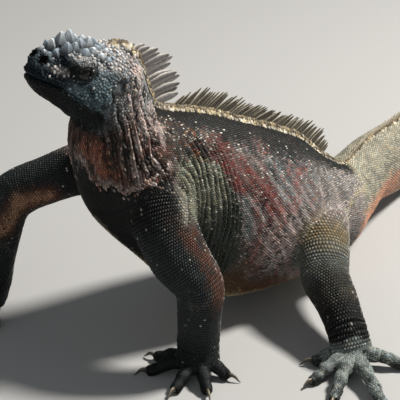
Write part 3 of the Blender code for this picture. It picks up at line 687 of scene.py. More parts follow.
# Round the olive patch: along its top edge and then down its rear edge, in X and Z
OLIVE_PATCH = (
    (-0.212, 0.182), (-0.203, 0.190), (-0.190, 0.194), (-0.175, 0.191), (-0.161, 0.184), (-0.150, 0.172),
    (-0.143, 0.158), (-0.138, 0.142), (-0.135, 0.126), (-0.136, 0.107), (-0.141, 0.085), (-0.152, 0.060),
)
# The flank's streaks on the left side, mirrored on the right: colour, strength, half width, line
STREAKS = (
    (BRICK, 0.95, 0.0085, ((-0.190, 0.033, 0.209), (-0.165, 0.044, 0.194), (-0.147, 0.048, 0.178),
                           (-0.130, 0.055, 0.150))),
    (BRICK, 0.95, 0.0080, ((-0.150, 0.036, 0.196), (-0.133, 0.043, 0.177), (-0.116, 0.052, 0.154),
                           (-0.107, 0.056, 0.140), (-0.101, 0.058, 0.124))),
    (BRICK, 0.70, 0.0045, ((-0.106, 0.042, 0.165), (-0.098, 0.054, 0.138), (-0.094, 0.060, 0.114))),
    (PINK, 0.75, 0.0030, ((-0.120, 0.058, 0.140), (-0.115, 0.060, 0.118), (-0.118, 0.060, 0.094),
                          (-0.122, 0.056, 0.072))),
    (PINK, 0.70, 0.0034, ((-0.096, 0.058, 0.128), (-0.091, 0.060, 0.110), (-0.099, 0.060, 0.088))),
    (PINK, 0.55, 0.0030, ((-0.056, 0.040, 0.146), (-0.050, 0.046, 0.130), (-0.045, 0.051, 0.116))),
    (BRICK, 0.80, 0.0055, ((-0.206, 0.030, 0.217), (-0.192, 0.029, 0.214), (-0.180, 0.036, 0.207))),
    (ORANGE, 0.60, 0.0030, ((-0.216, 0.041, 0.212), (-0.214, 0.046, 0.199))),
    (BLUE_GREY, 0.80, 0.0050, ((-0.129, 0.057, 0.138), (-0.126, 0.060, 0.120), (-0.129, 0.060, 0.104))),
    (JET, 0.85, 0.0040, ((-0.171, 0.049, 0.186), (-0.165, 0.050, 0.182))),
    (JET, 0.85, 0.0036, ((-0.124, 0.055, 0.150), (-0.117, 0.056, 0.142), (-0.109, 0.058, 0.134))),
    (JET, 0.60, 0.0040, ((-0.104, 0.060, 0.112), (-0.107, 0.060, 0.092))),
    (JET, 0.80, 0.0026, ((-0.048, 0.051, 0.118), (-0.045, 0.053, 0.110))),
)
SHED_LINE = (
    (0.034, 0.000, 0.108), (0.038, 0.014, 0.101), (0.036, 0.024, 0.091), (0.012, 0.038, 0.098),
    (-0.006, 0.049, 0.090), (-0.030, 0.060, 0.080),
)
ARM_BAND = {
    "left_arm": ((-0.222, -0.066, 0.170), (-0.206, -0.086, 0.142), (-0.192, -0.101, 0.109),
                 (-0.190, -0.108, 0.082)),
    "right_arm": ((-0.265, 0.058, 0.134), (-0.287, 0.075, 0.126), (-0.298, 0.087, 0.098)),
}


def layered(ground, *layers):
    """Colours laid over a ground, one after another, each through its mask from 0 to 1."""
    if np.ndim(ground) == 1:
        ground = np.tile(np.array(ground), (len(layers[0][1]), 1))
    for colour, mask in layers:
        ground = ground + (np.array(colour) - ground) * np.clip(mask, 0, 1)[:, None]
    return ground


def blotches(points, sizes, seed):
    """Broad soft blotches with smaller ones among them."""
    return cloud(points, sizes[0], seed) + 0.6 * cloud(points, sizes[1], seed + 1)


def from_back(turn):
    """How far down the side from the middle of the back, as a share of the way to the belly."""
    return np.abs(np.arctan2(np.cos(turn), np.sin(turn))) / math.pi


def wobbled(points):
    """The points moved a little to and fro, so that a mark's edge comes out ragged."""
    soft = np.stack([cloud(points, 0.014, seed) for seed in (21, 22, 23)], 1)
    sharp = np.stack([cloud(points, 0.005, seed) for seed in (24, 25, 26)], 1)
    return mirrored(points) + 0.0030 * soft + 0.0022 * sharp


def flank_marks(points, down):
    """Black under the crest, then grey, brick streaks, mauve, an olive patch and a rusty belly."""
    moved = wobbled(points)
    x, _, z = moved.T
    blotch = blotches(points, (0.016, 0.007), 27)
    fine = cloud(points, 0.0045, 29)
    edge = 0.05 * blotch
    speckle = cloud(points * (1, 1, 0.5), 0.0046, 30) + 0.6 * cloud(points, 0.0020, 38)
    upright = cloud(points * (1, 1, 0.22), 0.0034, 39)
    rosy = cloud(points * (1, 1, 0.25), 0.0050, 44)
    broken = 0.30 + 0.70 * ramp(speckle, -0.50, 0.20)
    streaks = [
        (colour, strength * ramp(distance_to(moved, line), half * 1.35, half * 0.60) * broken)
        for colour, strength, half, line in STREAKS]
    behind_neck = ramp(x, -0.216, -0.206) * ramp(x, -0.150, -0.168) * ramp(down, 0.44, 0.36)
    low = ramp(x, -0.122, -0.100) * ramp(x, -0.055, -0.075) * ramp(z, 0.125, 0.100) * ramp(z, 0.055, 0.070)
    belly = ramp(down + edge, 0.72, 0.80)
    outline = np.array(OLIVE_PATCH)
    ceiling = np.interp(x, *outline[:9].T)
    behind = np.interp(z, *outline[:2:-1, ::-1].T)
    patch = ramp(ceiling - z, -0.002, 0.002) * ramp(x - behind, 0.002, -0.002)
    patch *= ramp(down, 0.20, 0.26) * ramp(x, -0.235, -0.215) * ramp(down, 0.84, 0.76)
    deep = ramp(z - 0.55 * x + 0.006 * blotch, 0.258, 0.205)
    olive = layered(
        OLIVE,
        (DEEP_OLIVE, deep * 0.92),
        # Darker in the grooves of the folds behind the shoulder: painted shade in the creases
        (DEEP_OLIVE, 0.75 * ramp(flank_waves(points), 0.2, -0.6)),
        (DEEP_OLIVE, 0.55 * ramp(upright, 0.0, -0.5)))
    return layered(
        FLANK_MAUVE,
        (DEEP_OLIVE, 0.75 * ramp(z + 0.25 * x, 0.078, 0.050)),
        (BACK_GREY, ramp(down + edge, 0.46, 0.32) * (0.85 + 0.15 * fine)),
        (BLUE_GREY, 0.5 * ramp(down + edge, 0.40, 0.30) * ramp(x, -0.115, -0.085)),
        (PINK, 0.30 * ramp(blotch, 0.1, 0.8) * ramp(x, -0.14, -0.12)),
        (BLACK, 0.45 * ramp(fine, 0.1, 0.8)),
        (PALE_MAUVE, 0.38 * ramp(x, -0.120, -0.080) * ramp(down, 0.24, 0.36)),
        (PALE_MAUVE, 0.70 * ramp(upright, 0.25, 0.7) * ramp(x, -0.150, -0.115)),
        (ROSE, 0.75 * ramp(rosy, 0.05, 0.5) * ramp(x, -0.135, -0.115) * ramp(x, -0.030, -0.050)),
        (BLACK, 0.75 * ramp(upright, -0.10, -0.6)),
        *streaks,
        (BLACK, 0.90 * behind_neck),
        (RUST, 0.85 * behind_neck * ramp(speckle, 0.05, 0.4)),
        (ORANGE, 0.60 * behind_neck * ramp(speckle, 0.35, 0.8)),
        (JET, ramp(down + 0.8 * edge, 0.205, 0.140) * 0.95),
        (NECK_ROSE, 0.95 * low * ramp(upright, -0.5, 0.2)),
        (BELLY_RUST, belly * 0.9),
        (BELLY_PALE, ramp(down + 0.5 * edge, 0.84, 0.90)),
        (olive, patch))


def body_marks(points, turn):
    """The flank's marks, then the neck, the black chest, the pelvis and the tail."""
    down = from_back(turn)
    x = points[:, 0]
    blotch = blotches(points, (0.016, 0.007), 27)
    down_neck, _ = neck_place(points)
    neck = ramp(x + 0.004 * blotch, *NECK_FOOT) * (points[:, 2] > 0.14)
    behind = ramp(x + 0.004 * blotch, -0.246, -0.232)
    upright = cloud(points * (1, 1, 0.20), 0.0036, 33) + 0.5 * cloud(points * (1, 1, 0.3), 0.0017, 36)
    long = fold_distance(points)
    streaky = ramp(cloud(points * (1, 1, 0.3), 0.004, 33), -0.8, 0.1)
    highlit_fold = distance_to(mirrored(points) + 0.0012 * cloud(points, 0.006, 47)[:, None], NECK_FOLDS[0])
    beside = np.abs(points[:, 1] + 0.001) - 0.0085
    level = collar_level(points)
    front = ramp(x, *NECK_FOOT) * ramp(points[:, 2], 0.055, 0.080)
    rim = mound(level - 0.0030, 0.0036) * streaky * ramp(x, -0.226, -0.240)
    keeled = ramp(down + 0.01 * blotch, 0.950, 0.985) * ramp(points[:, 2], 0.140, 0.120)
    pelvis = ramp(x + 0.012 * blotch, -0.062, -0.035) * ramp(x, 0.045, 0.030)
    pelvis = pelvis * ramp(down, 0.66, 0.50) * ramp(down, 0.12, 0.20)
    pleated = cloud(points * (1, 1, 0.22), 0.0042, 39)
    tail = ramp(x + 0.45 * down * 0.06, 0.030, 0.042)
    ringed = cloud(points * (1, 0.35, 0.35), 0.0035, 40)
    shed = distance_to(mirrored(points) + 0.003 * cloud(points, 0.006, 27)[:, None], SHED_LINE)
    return layered(
        flank_marks(points, down),
        (NECK_BROWN, neck),
        (NECK_RED, neck * ramp(blotch, -0.2, 0.5) * ramp(down_neck, 0.1, 0.6)),
        (NECK_GREY, neck * 0.85 * ramp(down_neck + 0.12 * blotch, 0.72, 0.30)),
        (NECK_ROSE, neck * behind * 0.85 * ramp(upright, -0.3, 0.4) * ramp(down, 0.16, 0.26)),
        # Upright pale streaks and the tops of the long folds are painted highlight, strongest towards the
        # back of the neck, where the key lamp falls; dark upright streaks and the grooves between the folds
        # are painted shade.
        (NECK_PALE, neck * (0.15 + 0.60 * behind) * ramp(upright, 0.35, 0.85)),
        (JET, neck * 0.90 * ramp(upright, -0.15, -0.60)),
        (JET, neck * 0.80 * mound(long - FOLD_SPACING / 2, 0.0015)),
        (NECK_PALE, neck * mound(long, 0.0016) * streaky * (0.30 + 0.68 * behind)),
        (NECK_PALE, neck * 0.95 * mound(highlit_fold, 0.0019) * ramp(streaky, -0.2, 0.6)),
        # A black line close beside the nape's keel: painted shadow under the keel's overhang
        (JET, ramp(x, -0.180, -0.195) * ramp(down, 0.35, 0.28) * mound(beside, 0.0035)),
        (JET, front * ramp(level, 0.001, -0.002)),
        (NECK_PALE, front * 0.45 * rim),
        (RIM_CREAM, front * 0.75 * keeled),
        (PELVIS_MAUVE, pelvis * (0.60 + 0.30 * blotch)),
        # Dark upright streaks on the hips: painted shade of upright folds
        (BLACK, pelvis * 0.60 * ramp(pleated, -0.05, -0.6)),
        (NECK_PALE, pelvis * 0.45 * ramp(pleated, 0.2, 0.7)),
        (TAIL_OLIVE, tail),
        (TAIL_UNDER, tail * ramp(down, 0.44, 0.58) * ramp(x, 0.20, 0.10)),
        (BACK_GREY, tail * 0.55 * ramp(blotch, 0.1, 0.9)),
        (BACK_GREY, tail * 0.50 * ramp(ringed, 0.2, 0.8)),
        (SHED_EDGE, mound(shed, 0.0028) * 0.9))


def head_marks(points):
    """Slate cheeks, a near-black snout and jaw, and white crust on the crown."""
    local = to_head(points)
    forward, _, up = local.T
    blotch = blotches(points, (0.008, 0.004), 31)
    fine = cloud(points, 0.003, 34)
    slant = np.stack([0.25 * (0.8 * forward + 0.6 * up), 0.5 * local[:, 1], 0.8 * up - 0.6 * forward], 1)
    streak = cloud(slant, 0.0024, 35)
    mouth_level = mouth_height(forward)
    mouth_level -= 0.35 * np.maximum(0.030 - forward, 0)
    jaw = ramp(up - mouth_level + 0.001 * blotch, 0.001, -0.003)
    crown = ramp(up + 0.004 * blotch + 0.10 * np.minimum(forward, 0.03), 0.010, 0.019)
    patch = away_from(local, (0.058, 0.019, 0.003), (0.011, 0.012, 0.004))
    eye = away_from(local, EYE, (1.45, 1, 0.9))
    nostril = away_from(local, NOSTRIL)
    return layered(
        SLATE,
        (SLATE_PALE, 0.8 * ramp(streak, 0.0, 0.6)),
        (SNOUT_TEAL, 0.8 * ramp(streak, -0.1, -0.6)),
        (EAR_GREY, ramp(forward + 0.003 * blotch, 0.016, 0.004)),
        (JET, 0.8 * ramp(forward, 0.020, 0.006) * ramp(fine, -0.1, 0.5)),
        (SNOUT_TEAL, ramp(forward + 0.004 * blotch, 0.040, 0.056)),
        (JET, jaw * 0.95 * ramp(forward + 0.003 * blotch, 0.004, 0.014)),
        (CROWN_CRUST, crown * ramp(fine, -1.1, 0.1) * ramp(forward, 0.056, 0.046)),
        (CRUST_PATCH, ramp(patch + 0.25 * blotch, 1.1, 0.8) * 0.8),
        (JET, ramp(eye, EYE_RADIUS * 1.7, EYE_RADIUS * 1.3) * 0.92),
        (SLATE_PALE, 0.6 * mound(nostril - 0.0068, 0.0012)),
        # Black inside the nostril: painted shade in its pit
        (NOSTRIL_SHADE, ramp(nostril, 0.0054, 0.0044)))


def arm_marks(points, name, part):
    """Black, with a rust band down the outside to the elbow, and on the right arm a painted light of pale
    tan down the band's middle.
    """
    blotch = blotches(points, (0.010, 0.005), 41)
    band = distance_to(points, ARM_BAND[name]) + 0.003 * blotch
    return layered(
        ARM_BLACK,
        (RUST, ramp(band, 0.018, 0.007) * (0.25 + 0.70 * ramp(blotch, -0.6, 0.3))),
        # Painted light on the right arm only
        (ARM_PAINTED_LIGHT, 0.8 * ramp(band, 0.010, 0.003) * (name == "right_arm")),
        (BACK_GREY, 0.5 * ramp(blotch, 0.3, 1.0) * ramp(part, 0.45, 0.55)),
        (HAND_BLACK, ramp(part, 0.78, 0.92)))


def thigh_marks(points, part, side):
    """Gold on top of the thigh, grey beads, a near-black shin and a grey foot."""
    blotch = blotches(points, (0.010, 0.005), 51)
    return layered(
        SHIN_BLACK,
        (THIGH_GREY, ramp(part + 0.05 * blotch, 0.66, 0.46) * (0.80 + 0.20 * blotch)),
        (THIGH_GOLD, ramp(side, 0.1, 0.7) * ramp(part + 0.03 * blotch, 0.47, 0.34)),
        (THIGH_GOLD, 0.35 * ramp(blotch, 0.2, 0.9) * ramp(part, 0.5, 0.7)),
        (JET, ramp(part + 0.02 * blotch, 0.70, 0.82)),
        (FOOT_GREY, ramp(part + 0.02 * blotch, 0.92, 0.98)))


def marks(points):
    """The colour of the skin at each point, with some painted light and shade."""
    _, _, turn = nearest_ring(points, body)
    local = to_head(points)
    on_head = ramp(local[:, 0] + 0.25 * np.minimum(local[:, 2], 0), -0.010, 0.002)
    on_head *= (points[:, 2] > CHIN_HEIGHT) * (points[:, 0] < -0.20)
    made = layered(body_marks(points, turn), (head_marks(points), on_head))
    for name, form in legs.items():
        along, share, turn = nearest_ring(points, form)
        part = along / form.length[-1]
        if name in ARM_BAND:
            colours = arm_marks(points, name, part)
        else:
            colours = thigh_marks(points, part, np.sin(turn))
        on_leg = np.maximum(ramp(share, 1.45, 1.15) * ramp(part, 0.18, 0.34), ramp(part, 0.93, 0.97))
        made = layered(made, (colours, on_leg * (np.abs(points[:, 1]) > 0.035)))
    # Low on each digit the colour is painted near black: painted shade under the digit
    low = ramp(points[:, 2] + 0.003 * cloud(points, 0.006, 45), 0.0120, 0.0060)
    hollow = ramp(cloud(points, 0.004, 46), 0.0, -0.5)
    for name, group in digits.items():
        colour = HAND_BLACK if name in ARM_BAND else FOOT_GREY
        for digit, _ in group:
            on_digit = ramp(distance_to(points, digit.line[::4, :3]), 0.012, 0.009)
            made = layered(made, (colour, on_digit), (JET, on_digit * 0.90 * low),
                           (JET, on_digit * 0.60 * hollow))
    return layered(
        made,
        # The rim behind the left arm painted pale as highlight, and its groove painted black as shadow
        (ARM_RIM_HIGHLIGHT, 0.80 * mound(distance_to(points, ARM_RIM), 0.0042)),
        (JET, 0.8 * ramp(distance_to(points, ARM_GROOVE), 0.0042, 0.0016)))


def paint(mesh, colours):
    """Colours kept on the mesh's points for its material to read."""
    layer = mesh.color_attributes.new("marking", "FLOAT_COLOR", "POINT")
    flat = np.hstack([colours, np.ones((len(colours), 1))])
    layer.data.foreach_set("color", flat.astype(np.float32).ravel())


def new_material(name):
    """A material, its node tree and its shader."""
    made = bpy.data.materials.new(name)
    made.use_nodes = True
    return made, made.node_tree, made.node_tree.nodes["Principled BSDF"]


def scaly(name, roughness, gloss, grain=0.0006, relief=0.0002):
    """Dry horny skin: its marking, broken up by fine grain, with a little gloss."""
    made, tree, shader = new_material(name)
    place = tree.nodes.new("ShaderNodeTexCoord")
    marking = tree.nodes.new("ShaderNodeAttribute")
    marking.attribute_name = "marking"
    mottle = tree.nodes.new("ShaderNodeTexNoise")
    mottle.inputs["Scale"].default_value = 0.35 / grain
    mottle.inputs["Detail"].default_value = 4
    level = tree.nodes.new("ShaderNodeMapRange")
    level.inputs["To Min"].default_value = 0.55
    level.inputs["To Max"].default_value = 1.45
    tone = tree.nodes.new("ShaderNodeVectorMath")
    tone.operation = "SCALE"
    grains = tree.nodes.new("ShaderNodeTexVoronoi")
    grains.inputs["Scale"].default_value = 1 / grain
    bump = tree.nodes.new("ShaderNodeBump")
    bump.inputs["Strength"].default_value = 0.7
    bump.inputs["Distance"].default_value = relief
    link = tree.links.new
    link(place.outputs["Object"], mottle.inputs["Vector"])
    link(place.outputs["Object"], grains.inputs["Vector"])
    link(mottle.outputs["Fac"], level.inputs["Value"])
    link(marking.outputs["Color"], tone.inputs[0])
    link(level.outputs["Result"], tone.inputs["Scale"])
    link(tone.outputs["Vector"], shader.inputs["Base Color"])
    link(grains.outputs["Distance"], bump.inputs["Height"])
    link(bump.outputs["Normal"], shader.inputs["Normal"])
    shader.inputs["Roughness"].default_value = roughness
    shader.inputs["Specular IOR Level"].default_value = gloss
    return made


# The bare skin shows only between the scales; it is painted at half its marking as painted shade in the
# gaps.
GAP_SHADE = 0.50
paint(skin.data, marks(base) * GAP_SHADE)
skin.data.materials.clear()
skin.data.materials.append(scaly("bare skin", 0.62, 0.12))
skin.data.shade_smooth()
thin = skin.modifiers.new("thin", "DECIMATE")
thin.ratio = 0.34
thin.use_collapse_triangulate = True
settle(skin)
skin.data.transform(Matrix.Translation(SHIFT))
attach(skin, "root")
flesh = [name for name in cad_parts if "claw" not in name and "eye" not in name]
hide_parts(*flesh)

# The small scales of the neck and trunk. Each is a low horny shield with a keel, about two
# and a half millimetres long, set in staggered rows round the body and lying tailwards. They
# are pressed on singly, their roots a little way into the skin.

ROW_SAMPLES = 97
STRETCH = 20
PATCH = 0.003
ROOT_REACH = 0.0045
NECK_END = -0.214
NECK_SCALE = (0.0018, 0.0019, 0.00042)
TRUNK_SCALE = (0.0022, 0.0023, 0.00060)
# Each scale's corners carry painted light and shade: dark at the sunk edge, light along the keel to the
# tip.
KEELED = SimpleNamespace(
    points=((-0.50, 0, -0.6), (-0.25, -0.50, -0.6), (0.28, -0.46, -0.4), (0.66, 0, 0.10),
            (0.28, 0.46, -0.4), (-0.25, 0.50, -0.6), (-0.30, 0, 0.55), (0.40, 0, 1.0)),
    faces=((0, 1, 6), (1, 2, 7, 6), (2, 3, 7), (3, 4, 7), (4, 5, 6, 7), (5, 0, 6)),
    painted_light_and_shade=(0.30, 0.32, 0.50, 0.95, 0.50, 0.32, 1.10, 1.50))

skin_points = points_of(skin.data) - SHIFT
skin_normals = normals_of(skin.data)
corners = np.array([polygon.vertices[:] for polygon in skin.data.polygons])
skin_tree = BVHTree.FromPolygons(skin_points.tolist(), corners.tolist())


def seated(points, reach):
    """The nearest places on the skin, its direction out there, and which points have one."""
    places = np.zeros((len(points), 3))
    outward = np.zeros((len(points), 3))
    found = np.zeros(len(points), bool)
    for number, point in enumerate(points.tolist()):
        place, _, face, _ = skin_tree.find_nearest(point, reach)
        if place is not None:
            places[number] = place
            outward[number] = skin_normals[corners[face]].mean(0)
            found[number] = True
    outward /= np.maximum(np.linalg.norm(outward, axis=1), 1e-9)[:, None]
    return places, outward, found


def rows_on(form, first, last, size):
    """Staggered rows of roots round a form, seated on the skin: a record of arrays."""
    length, width, _ = size
    fine = np.linspace(-0.5 * math.pi, 1.5 * math.pi, ROW_SAMPLES)
    found = []
    for row in range(int((last - first) / length)):
        along = first + (row + 0.5) * length
        ring = surface(form, np.full(ROW_SAMPLES, along), fine)
        round_it = lengths_along(ring)
        if row % STRETCH == 0:
            count = max(6, round(round_it[-1] / width))
        share = (np.arange(count) + 0.5 * (row % 2)) / count
        turn = np.interp(share * round_it[-1], round_it, fine)
        here = surface(form, np.full(count, along), turn)
        past = surface(form, np.full(count, along + length), turn)
        middle = read(form, form.line, np.full(count, along))[:, :3]
        found.append((here, past - here, here - middle, np.full(count, round_it[-1] / count),
                      share, np.full(count, along / form.length[-1]), turn,
                      np.full(count, row)))
    names = ("points", "onward", "away", "width", "around", "along", "turn", "row")
    rows = SimpleNamespace(**{name: np.concatenate(part) for name, part in zip(names, zip(*found))})
    rows.length = np.linalg.norm(rows.onward, axis=1)
    places, outward, kept = seated(rows.points, ROOT_REACH)
    rows.away /= np.linalg.norm(rows.away, axis=1)[:, None]
    kept &= (outward * rows.away).sum(1) > 0.25
    kept &= (rows.length > 0.45 * length) | (rows.row % 2 == 0)
    kept &= places[:, 2] > 0.0012
    rows.points, rows.outward = places, outward
    return thinned(rows, kept)


def thinned(rows, kept):
    return SimpleNamespace(**{name: values[kept] for name, values in vars(rows).items()})


def joined(parts):
    """One record of rows from several."""
    return SimpleNamespace(**{name: np.concatenate([vars(rows)[name] for rows in parts])
                              for name in vars(parts[0])})


def clear_of(rows, planted, gap):
    """The rows without the roots that would stand among scales already planted."""
    tree = KDTree(len(planted))
    for number, point in enumerate(planted.tolist()):
        tree.insert(point, number)
    tree.balance()
    near = np.array([tree.find(point)[2] for point in rows.points.tolist()])
    return thinned(rows, near > gap)


def plant(name, roots, onward, outward, sizes, colours, shares, template):
    """One mesh of like scales, each at its root, with its colours and its bake patch."""
    onward = onward - (onward * outward).sum(1)[:, None] * outward
    onward /= np.linalg.norm(onward, axis=1)[:, None]
    sideways = np.cross(outward, onward)
    shape = np.array(template.points)
    reach = shape[None] * sizes[:, None]
    points = roots[:, None] + (reach[..., :1] * onward[:, None] + reach[..., 1:2] * sideways[:, None]
                               + reach[..., 2:] * outward[:, None])
    count, each = len(roots), len(shape)
    faces = [[start + corner for corner in face]
             for start in range(0, count * each, each) for face in template.faces]
    made = mesh_object(name, points.reshape(-1, 3) + SHIFT, faces)
    # Each corner's colour is scaled by the template's painted light and shade
    painted_light_and_shade = np.array(template.painted_light_and_shade)
    paint(made.data, (colours[:, None] * painted_light_and_shade[None, :, None]).reshape(-1, 3))
    bake = made.data.uv_layers.new(name="OFBake")
    order = np.concatenate([np.array(face) for face in template.faces])
    spots = shares[:, None] + shape[None, order, :2] * PATCH
    bake.data.foreach_set("uv", spots.astype(np.float32).ravel())
    return made


def scales(name, rows, fill, height, colours, template):
    """Rows of like scales, each filling this share of its place along and across."""
    sizes = np.stack([rows.length * fill[0], rows.width * fill[1], height], 1)
    return plant(name, rows.points, rows.onward, rows.outward, sizes, colours,
                 np.stack([rows.around, rows.along], 1), template)


def dressed(piece, material):
    piece.data.materials.append(material)
    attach(piece, "root")
    return piece


def varied(points, draw, spread=0.22, stray=0.0018):
    """Each scale takes the skin's colour from a place beside it, and is a little lighter or
    darker and warmer or cooler than the next."""
    stray = stray * np.where(draw.random((len(points), 1)) < 0.3, 3.0, 1.0)
    colours = marks(points + draw.normal(0, 1, points.shape) * stray)
    colours = colours * draw.uniform(1 - spread, 1 + spread, (len(points), 1))
    return colours * (1 + draw.normal(0, 0.06, (len(points), 1)) * (1, 0, -1))


PALE_GRAIN = (0.62, 0.58, 0.50)


def grained(colours, points, down, draw):
    """Scales worn pale, thickest over the shoulders, the middle of the back and the hips."""
    thick = ramp(cloud(points, 0.018, 61) + 0.5 * cloud(points, 0.006, 62), 0.0, 0.7)
    thick = thick * ramp(down, 0.48, 0.30) * ramp(points[:, 0], 0.0, -0.03)
    chance = (0.16 + 0.55 * thick) * ramp(down, 0.75, 0.50) * ramp(down, 0.11, 0.19)
    worn = np.where(draw.random(len(points)) < chance, draw.random(len(points)) ** (4.5 - 3 * thick), 0)
    return colours + (np.array(PALE_GRAIN) - colours) * worn[:, None]


# Beside the crest's keel, how far round from the middle of the back the scales are left out
KEEL_TURN = 0.06
# Where the head's grains begin, in the head's frame
GRAINS_BEGIN = -0.006


def under_grains(points):
    """Which points the head's own grains cover."""
    return (to_head(points)[:, 0] > GRAINS_BEGIN) & (points[:, 2] > CHIN_HEIGHT)


draw = np.random.default_rng(7)
neck_end = np.interp(NECK_END, body.line[:, 0], body.length)
tail_start = np.interp(0.030, body.line[:, 0], body.length)
neck = rows_on(body, 0.012, neck_end, NECK_SCALE)
neck = thinned(neck, ~under_grains(neck.points))
height = NECK_SCALE[2] * draw.uniform(0.7, 1.4, len(neck.points))
colours = grained(varied(neck.points, draw, 0.35, 0.0010), neck.points, from_back(neck.turn), draw)
neck_scales = scales("neck_scales", neck, (1.25, 1.05), height, colours, KEELED)

trunk = rows_on(body, neck_end, tail_start, TRUNK_SCALE)
on_top = np.abs(trunk.turn - math.pi / 2) * trunk.width / TRUNK_SCALE[1] < KEEL_TURN
trunk = thinned(trunk, ~under_grains(trunk.points) & ~on_top)
height = TRUNK_SCALE[2] * draw.uniform(0.75, 1.3, len(trunk.points))
colours = grained(varied(trunk.points, draw), trunk.points, from_back(trunk.turn), draw)
trunk_scales = scales("trunk_scales", trunk, (1.15, 1.02), height, colours, KEELED)
small_scale_horn = scaly("small scale horn", 0.42, 0.18)
dressed(trunk_scales, small_scale_horn)
dressed(neck_scales, small_scale_horn)

# The rings of the tail. The long keeled shields of the tail are squarer, and stand in clean
# rings from the pelvis to the tip, three millimetres to a ring.

TAIL_SCALE = (0.0031, 0.0025, 0.00085)
# Each shield's corners carry painted light and shade: dark at the sunk edge, light along the keel to the
# tip.
TAIL_SHIELD = SimpleNamespace(
    points=((-0.46, -0.30, -0.5), (0.42, -0.46, -0.25), (0.56, 0, 0.35), (0.42, 0.46, -0.25),
            (-0.46, 0.30, -0.5), (-0.40, 0, 0.35), (0.40, 0, 1.0)),
    faces=((0, 1, 6, 5), (1, 2, 6), (2, 3, 6), (3, 4, 5, 6), (4, 0, 5)),
    painted_light_and_shade=(0.32, 0.45, 0.70, 0.45, 0.32, 1.05, 1.35))

tail = rows_on(body, tail_start, body.length[-1] - 0.001, TAIL_SCALE)
tail = thinned(tail, np.abs(tail.turn - math.pi / 2) >= 0.05)
height = TAIL_SCALE[2] * np.minimum(1, tail.width / TAIL_SCALE[1])
colours = varied(tail.points, draw, 0.32)
tail_scales = scales("tail_scales", tail, (1.02, 1.06), height, colours, TAIL_SHIELD)
dressed(tail_scales, scaly("tail horn", 0.50, 0.30))
planted = np.vstack([neck.points, trunk.points, tail.points])

# The beads of the legs. Round, domed scales of about three millimetres in even rows, with
# dark skin between them; they are larger and paler on the thigh than on the forearm.

LEG_SCALE = {"arm": (0.0023, 0.0025, 0.00065), "leg": (0.0029, 0.0031, 0.00085)}
LEG_GAP = 0.0014
# The pale of the painted glints on the beads
BEAD_GLINT = (0.540, 0.500, 0.450)


def bead(sides, waist, height, shades=(0.25, 0.90, 1.30)):
    """A domed scale: a sunk rim, a waist and a blunt middle, painted dark at the rim as shade and light at
    the middle as highlight.
    """
    rim = [(0.50 * math.cos(turn), 0.50 * math.sin(turn), -0.5) for turn in turns(sides)]
    upper = [(waist * math.cos(turn), waist * math.sin(turn), height) for turn in turns(sides)]
    after = [(i + 1) % sides for i in range(sides)]
    faces = [(i, after[i], sides + after[i], sides + i) for i in range(sides)]
    faces += [(sides + i, sides + after[i], 2 * sides) for i in range(sides)]
    painted_light_and_shade = [shades[0]] * sides + [shades[1]] * sides + [shades[2]]
    return SimpleNamespace(points=(*rim, *upper, (0.06, 0, 1.0)), faces=faces, painted_light_and_shade=painted_light_and_shade)


def glints_behind(colours, outward, draw):
    """Beads on the back of a limb, the side towards the key lamp, painted pale at random: painted glints.
    """
    behind = ramp(outward[:, 0], 0.45, 0.85)
    worn = np.where(draw.random(len(colours)) < 0.02 + 0.50 * behind, draw.random(len(colours)) ** 2, 0)
    return colours + (np.array(BEAD_GLINT) - colours) * 0.8 * worn[:, None]


def rows_over(forms, sizes, ends, gap, planted):
    """Rows on one form after another, each clear of all the scales planted before it."""
    found = []
    for number, (form, size) in enumerate(zip(forms, sizes)):
        rows = rows_on(form, ends[0], form.length[-1] - ends[1], size)
        rows = clear_of(rows, planted, gap)
        rows.around = (number + rows.around) / len(forms)
        rows.height = np.full(len(rows.points), size[2])
        found.append(rows)
        planted = np.vstack([planted, rows.points])
    return joined(found), planted


leg_sizes = [LEG_SCALE[name.split("_")[1]] for name in legs]
leg_rows, planted = rows_over(legs.values(), leg_sizes, (0.012, 0.004), LEG_GAP, planted)
# Painted glints, pale highlights, on the beads at the back of each limb
colours = glints_behind(varied(leg_rows.points, draw, 0.30, 0.0010), leg_rows.outward, draw)
leg_beads = scales("leg_beads", leg_rows, (1.06, 1.0), leg_rows.height, colours, bead(6, 0.38, 0.62))
bead_horn = scaly("bead horn", 0.36, 0.20)
dressed(leg_beads, bead_horn)

# The shields of the hands and feet: small, square plates in rings round each digit, wider
# over the top of it, as far as the claw.

DIGIT_SCALE = (0.0023, 0.0024, 0.00060)
DIGIT_GAP = 0.0013
all_digits = [digit for group in digits.values() for digit, _ in group]
digit_rows, planted = rows_over(all_digits, [DIGIT_SCALE] * len(all_digits), (0.004, 0), DIGIT_GAP, planted)
colours = varied(digit_rows.points, draw, 0.34, 0.0010)
digit_shields = scales("digit_shields", digit_rows, (1.10, 1.05), digit_rows.height, colours, KEELED)
dressed(digit_shields, bead_horn)

# The horny plates of the snout and brow: tall, blunt pyramids of thick grey horn, packed in
# rows across the top of the head, highest between the eyes, some paler than others, each
# painted dark at its foot as shade and light towards its tip as highlight.

# Each row's place along the head, its spacing, how many stand in it and their height
PLATE_ROWS = (
    (0.86, 0.0068, 3, 0.0048), (0.78, 0.0085, 3, 0.0098), (0.69, 0.0096, 3, 0.0122),
    (0.59, 0.0100, 3, 0.0130), (0.49, 0.0104, 4, 0.0130), (0.39, 0.0100, 4, 0.0100),
    (0.30, 0.0090, 5, 0.0062), (0.21, 0.0080, 6, 0.0042),
)
PLATE_HORN = (0.160, 0.200, 0.235)
PLATE_PALE = (0.430, 0.460, 0.480)
# The painted highlight at each plate's tip
TIP_HIGHLIGHT = 1.9
PLATE_STRAY = 0.0008
PLATE_TILT = 0.30


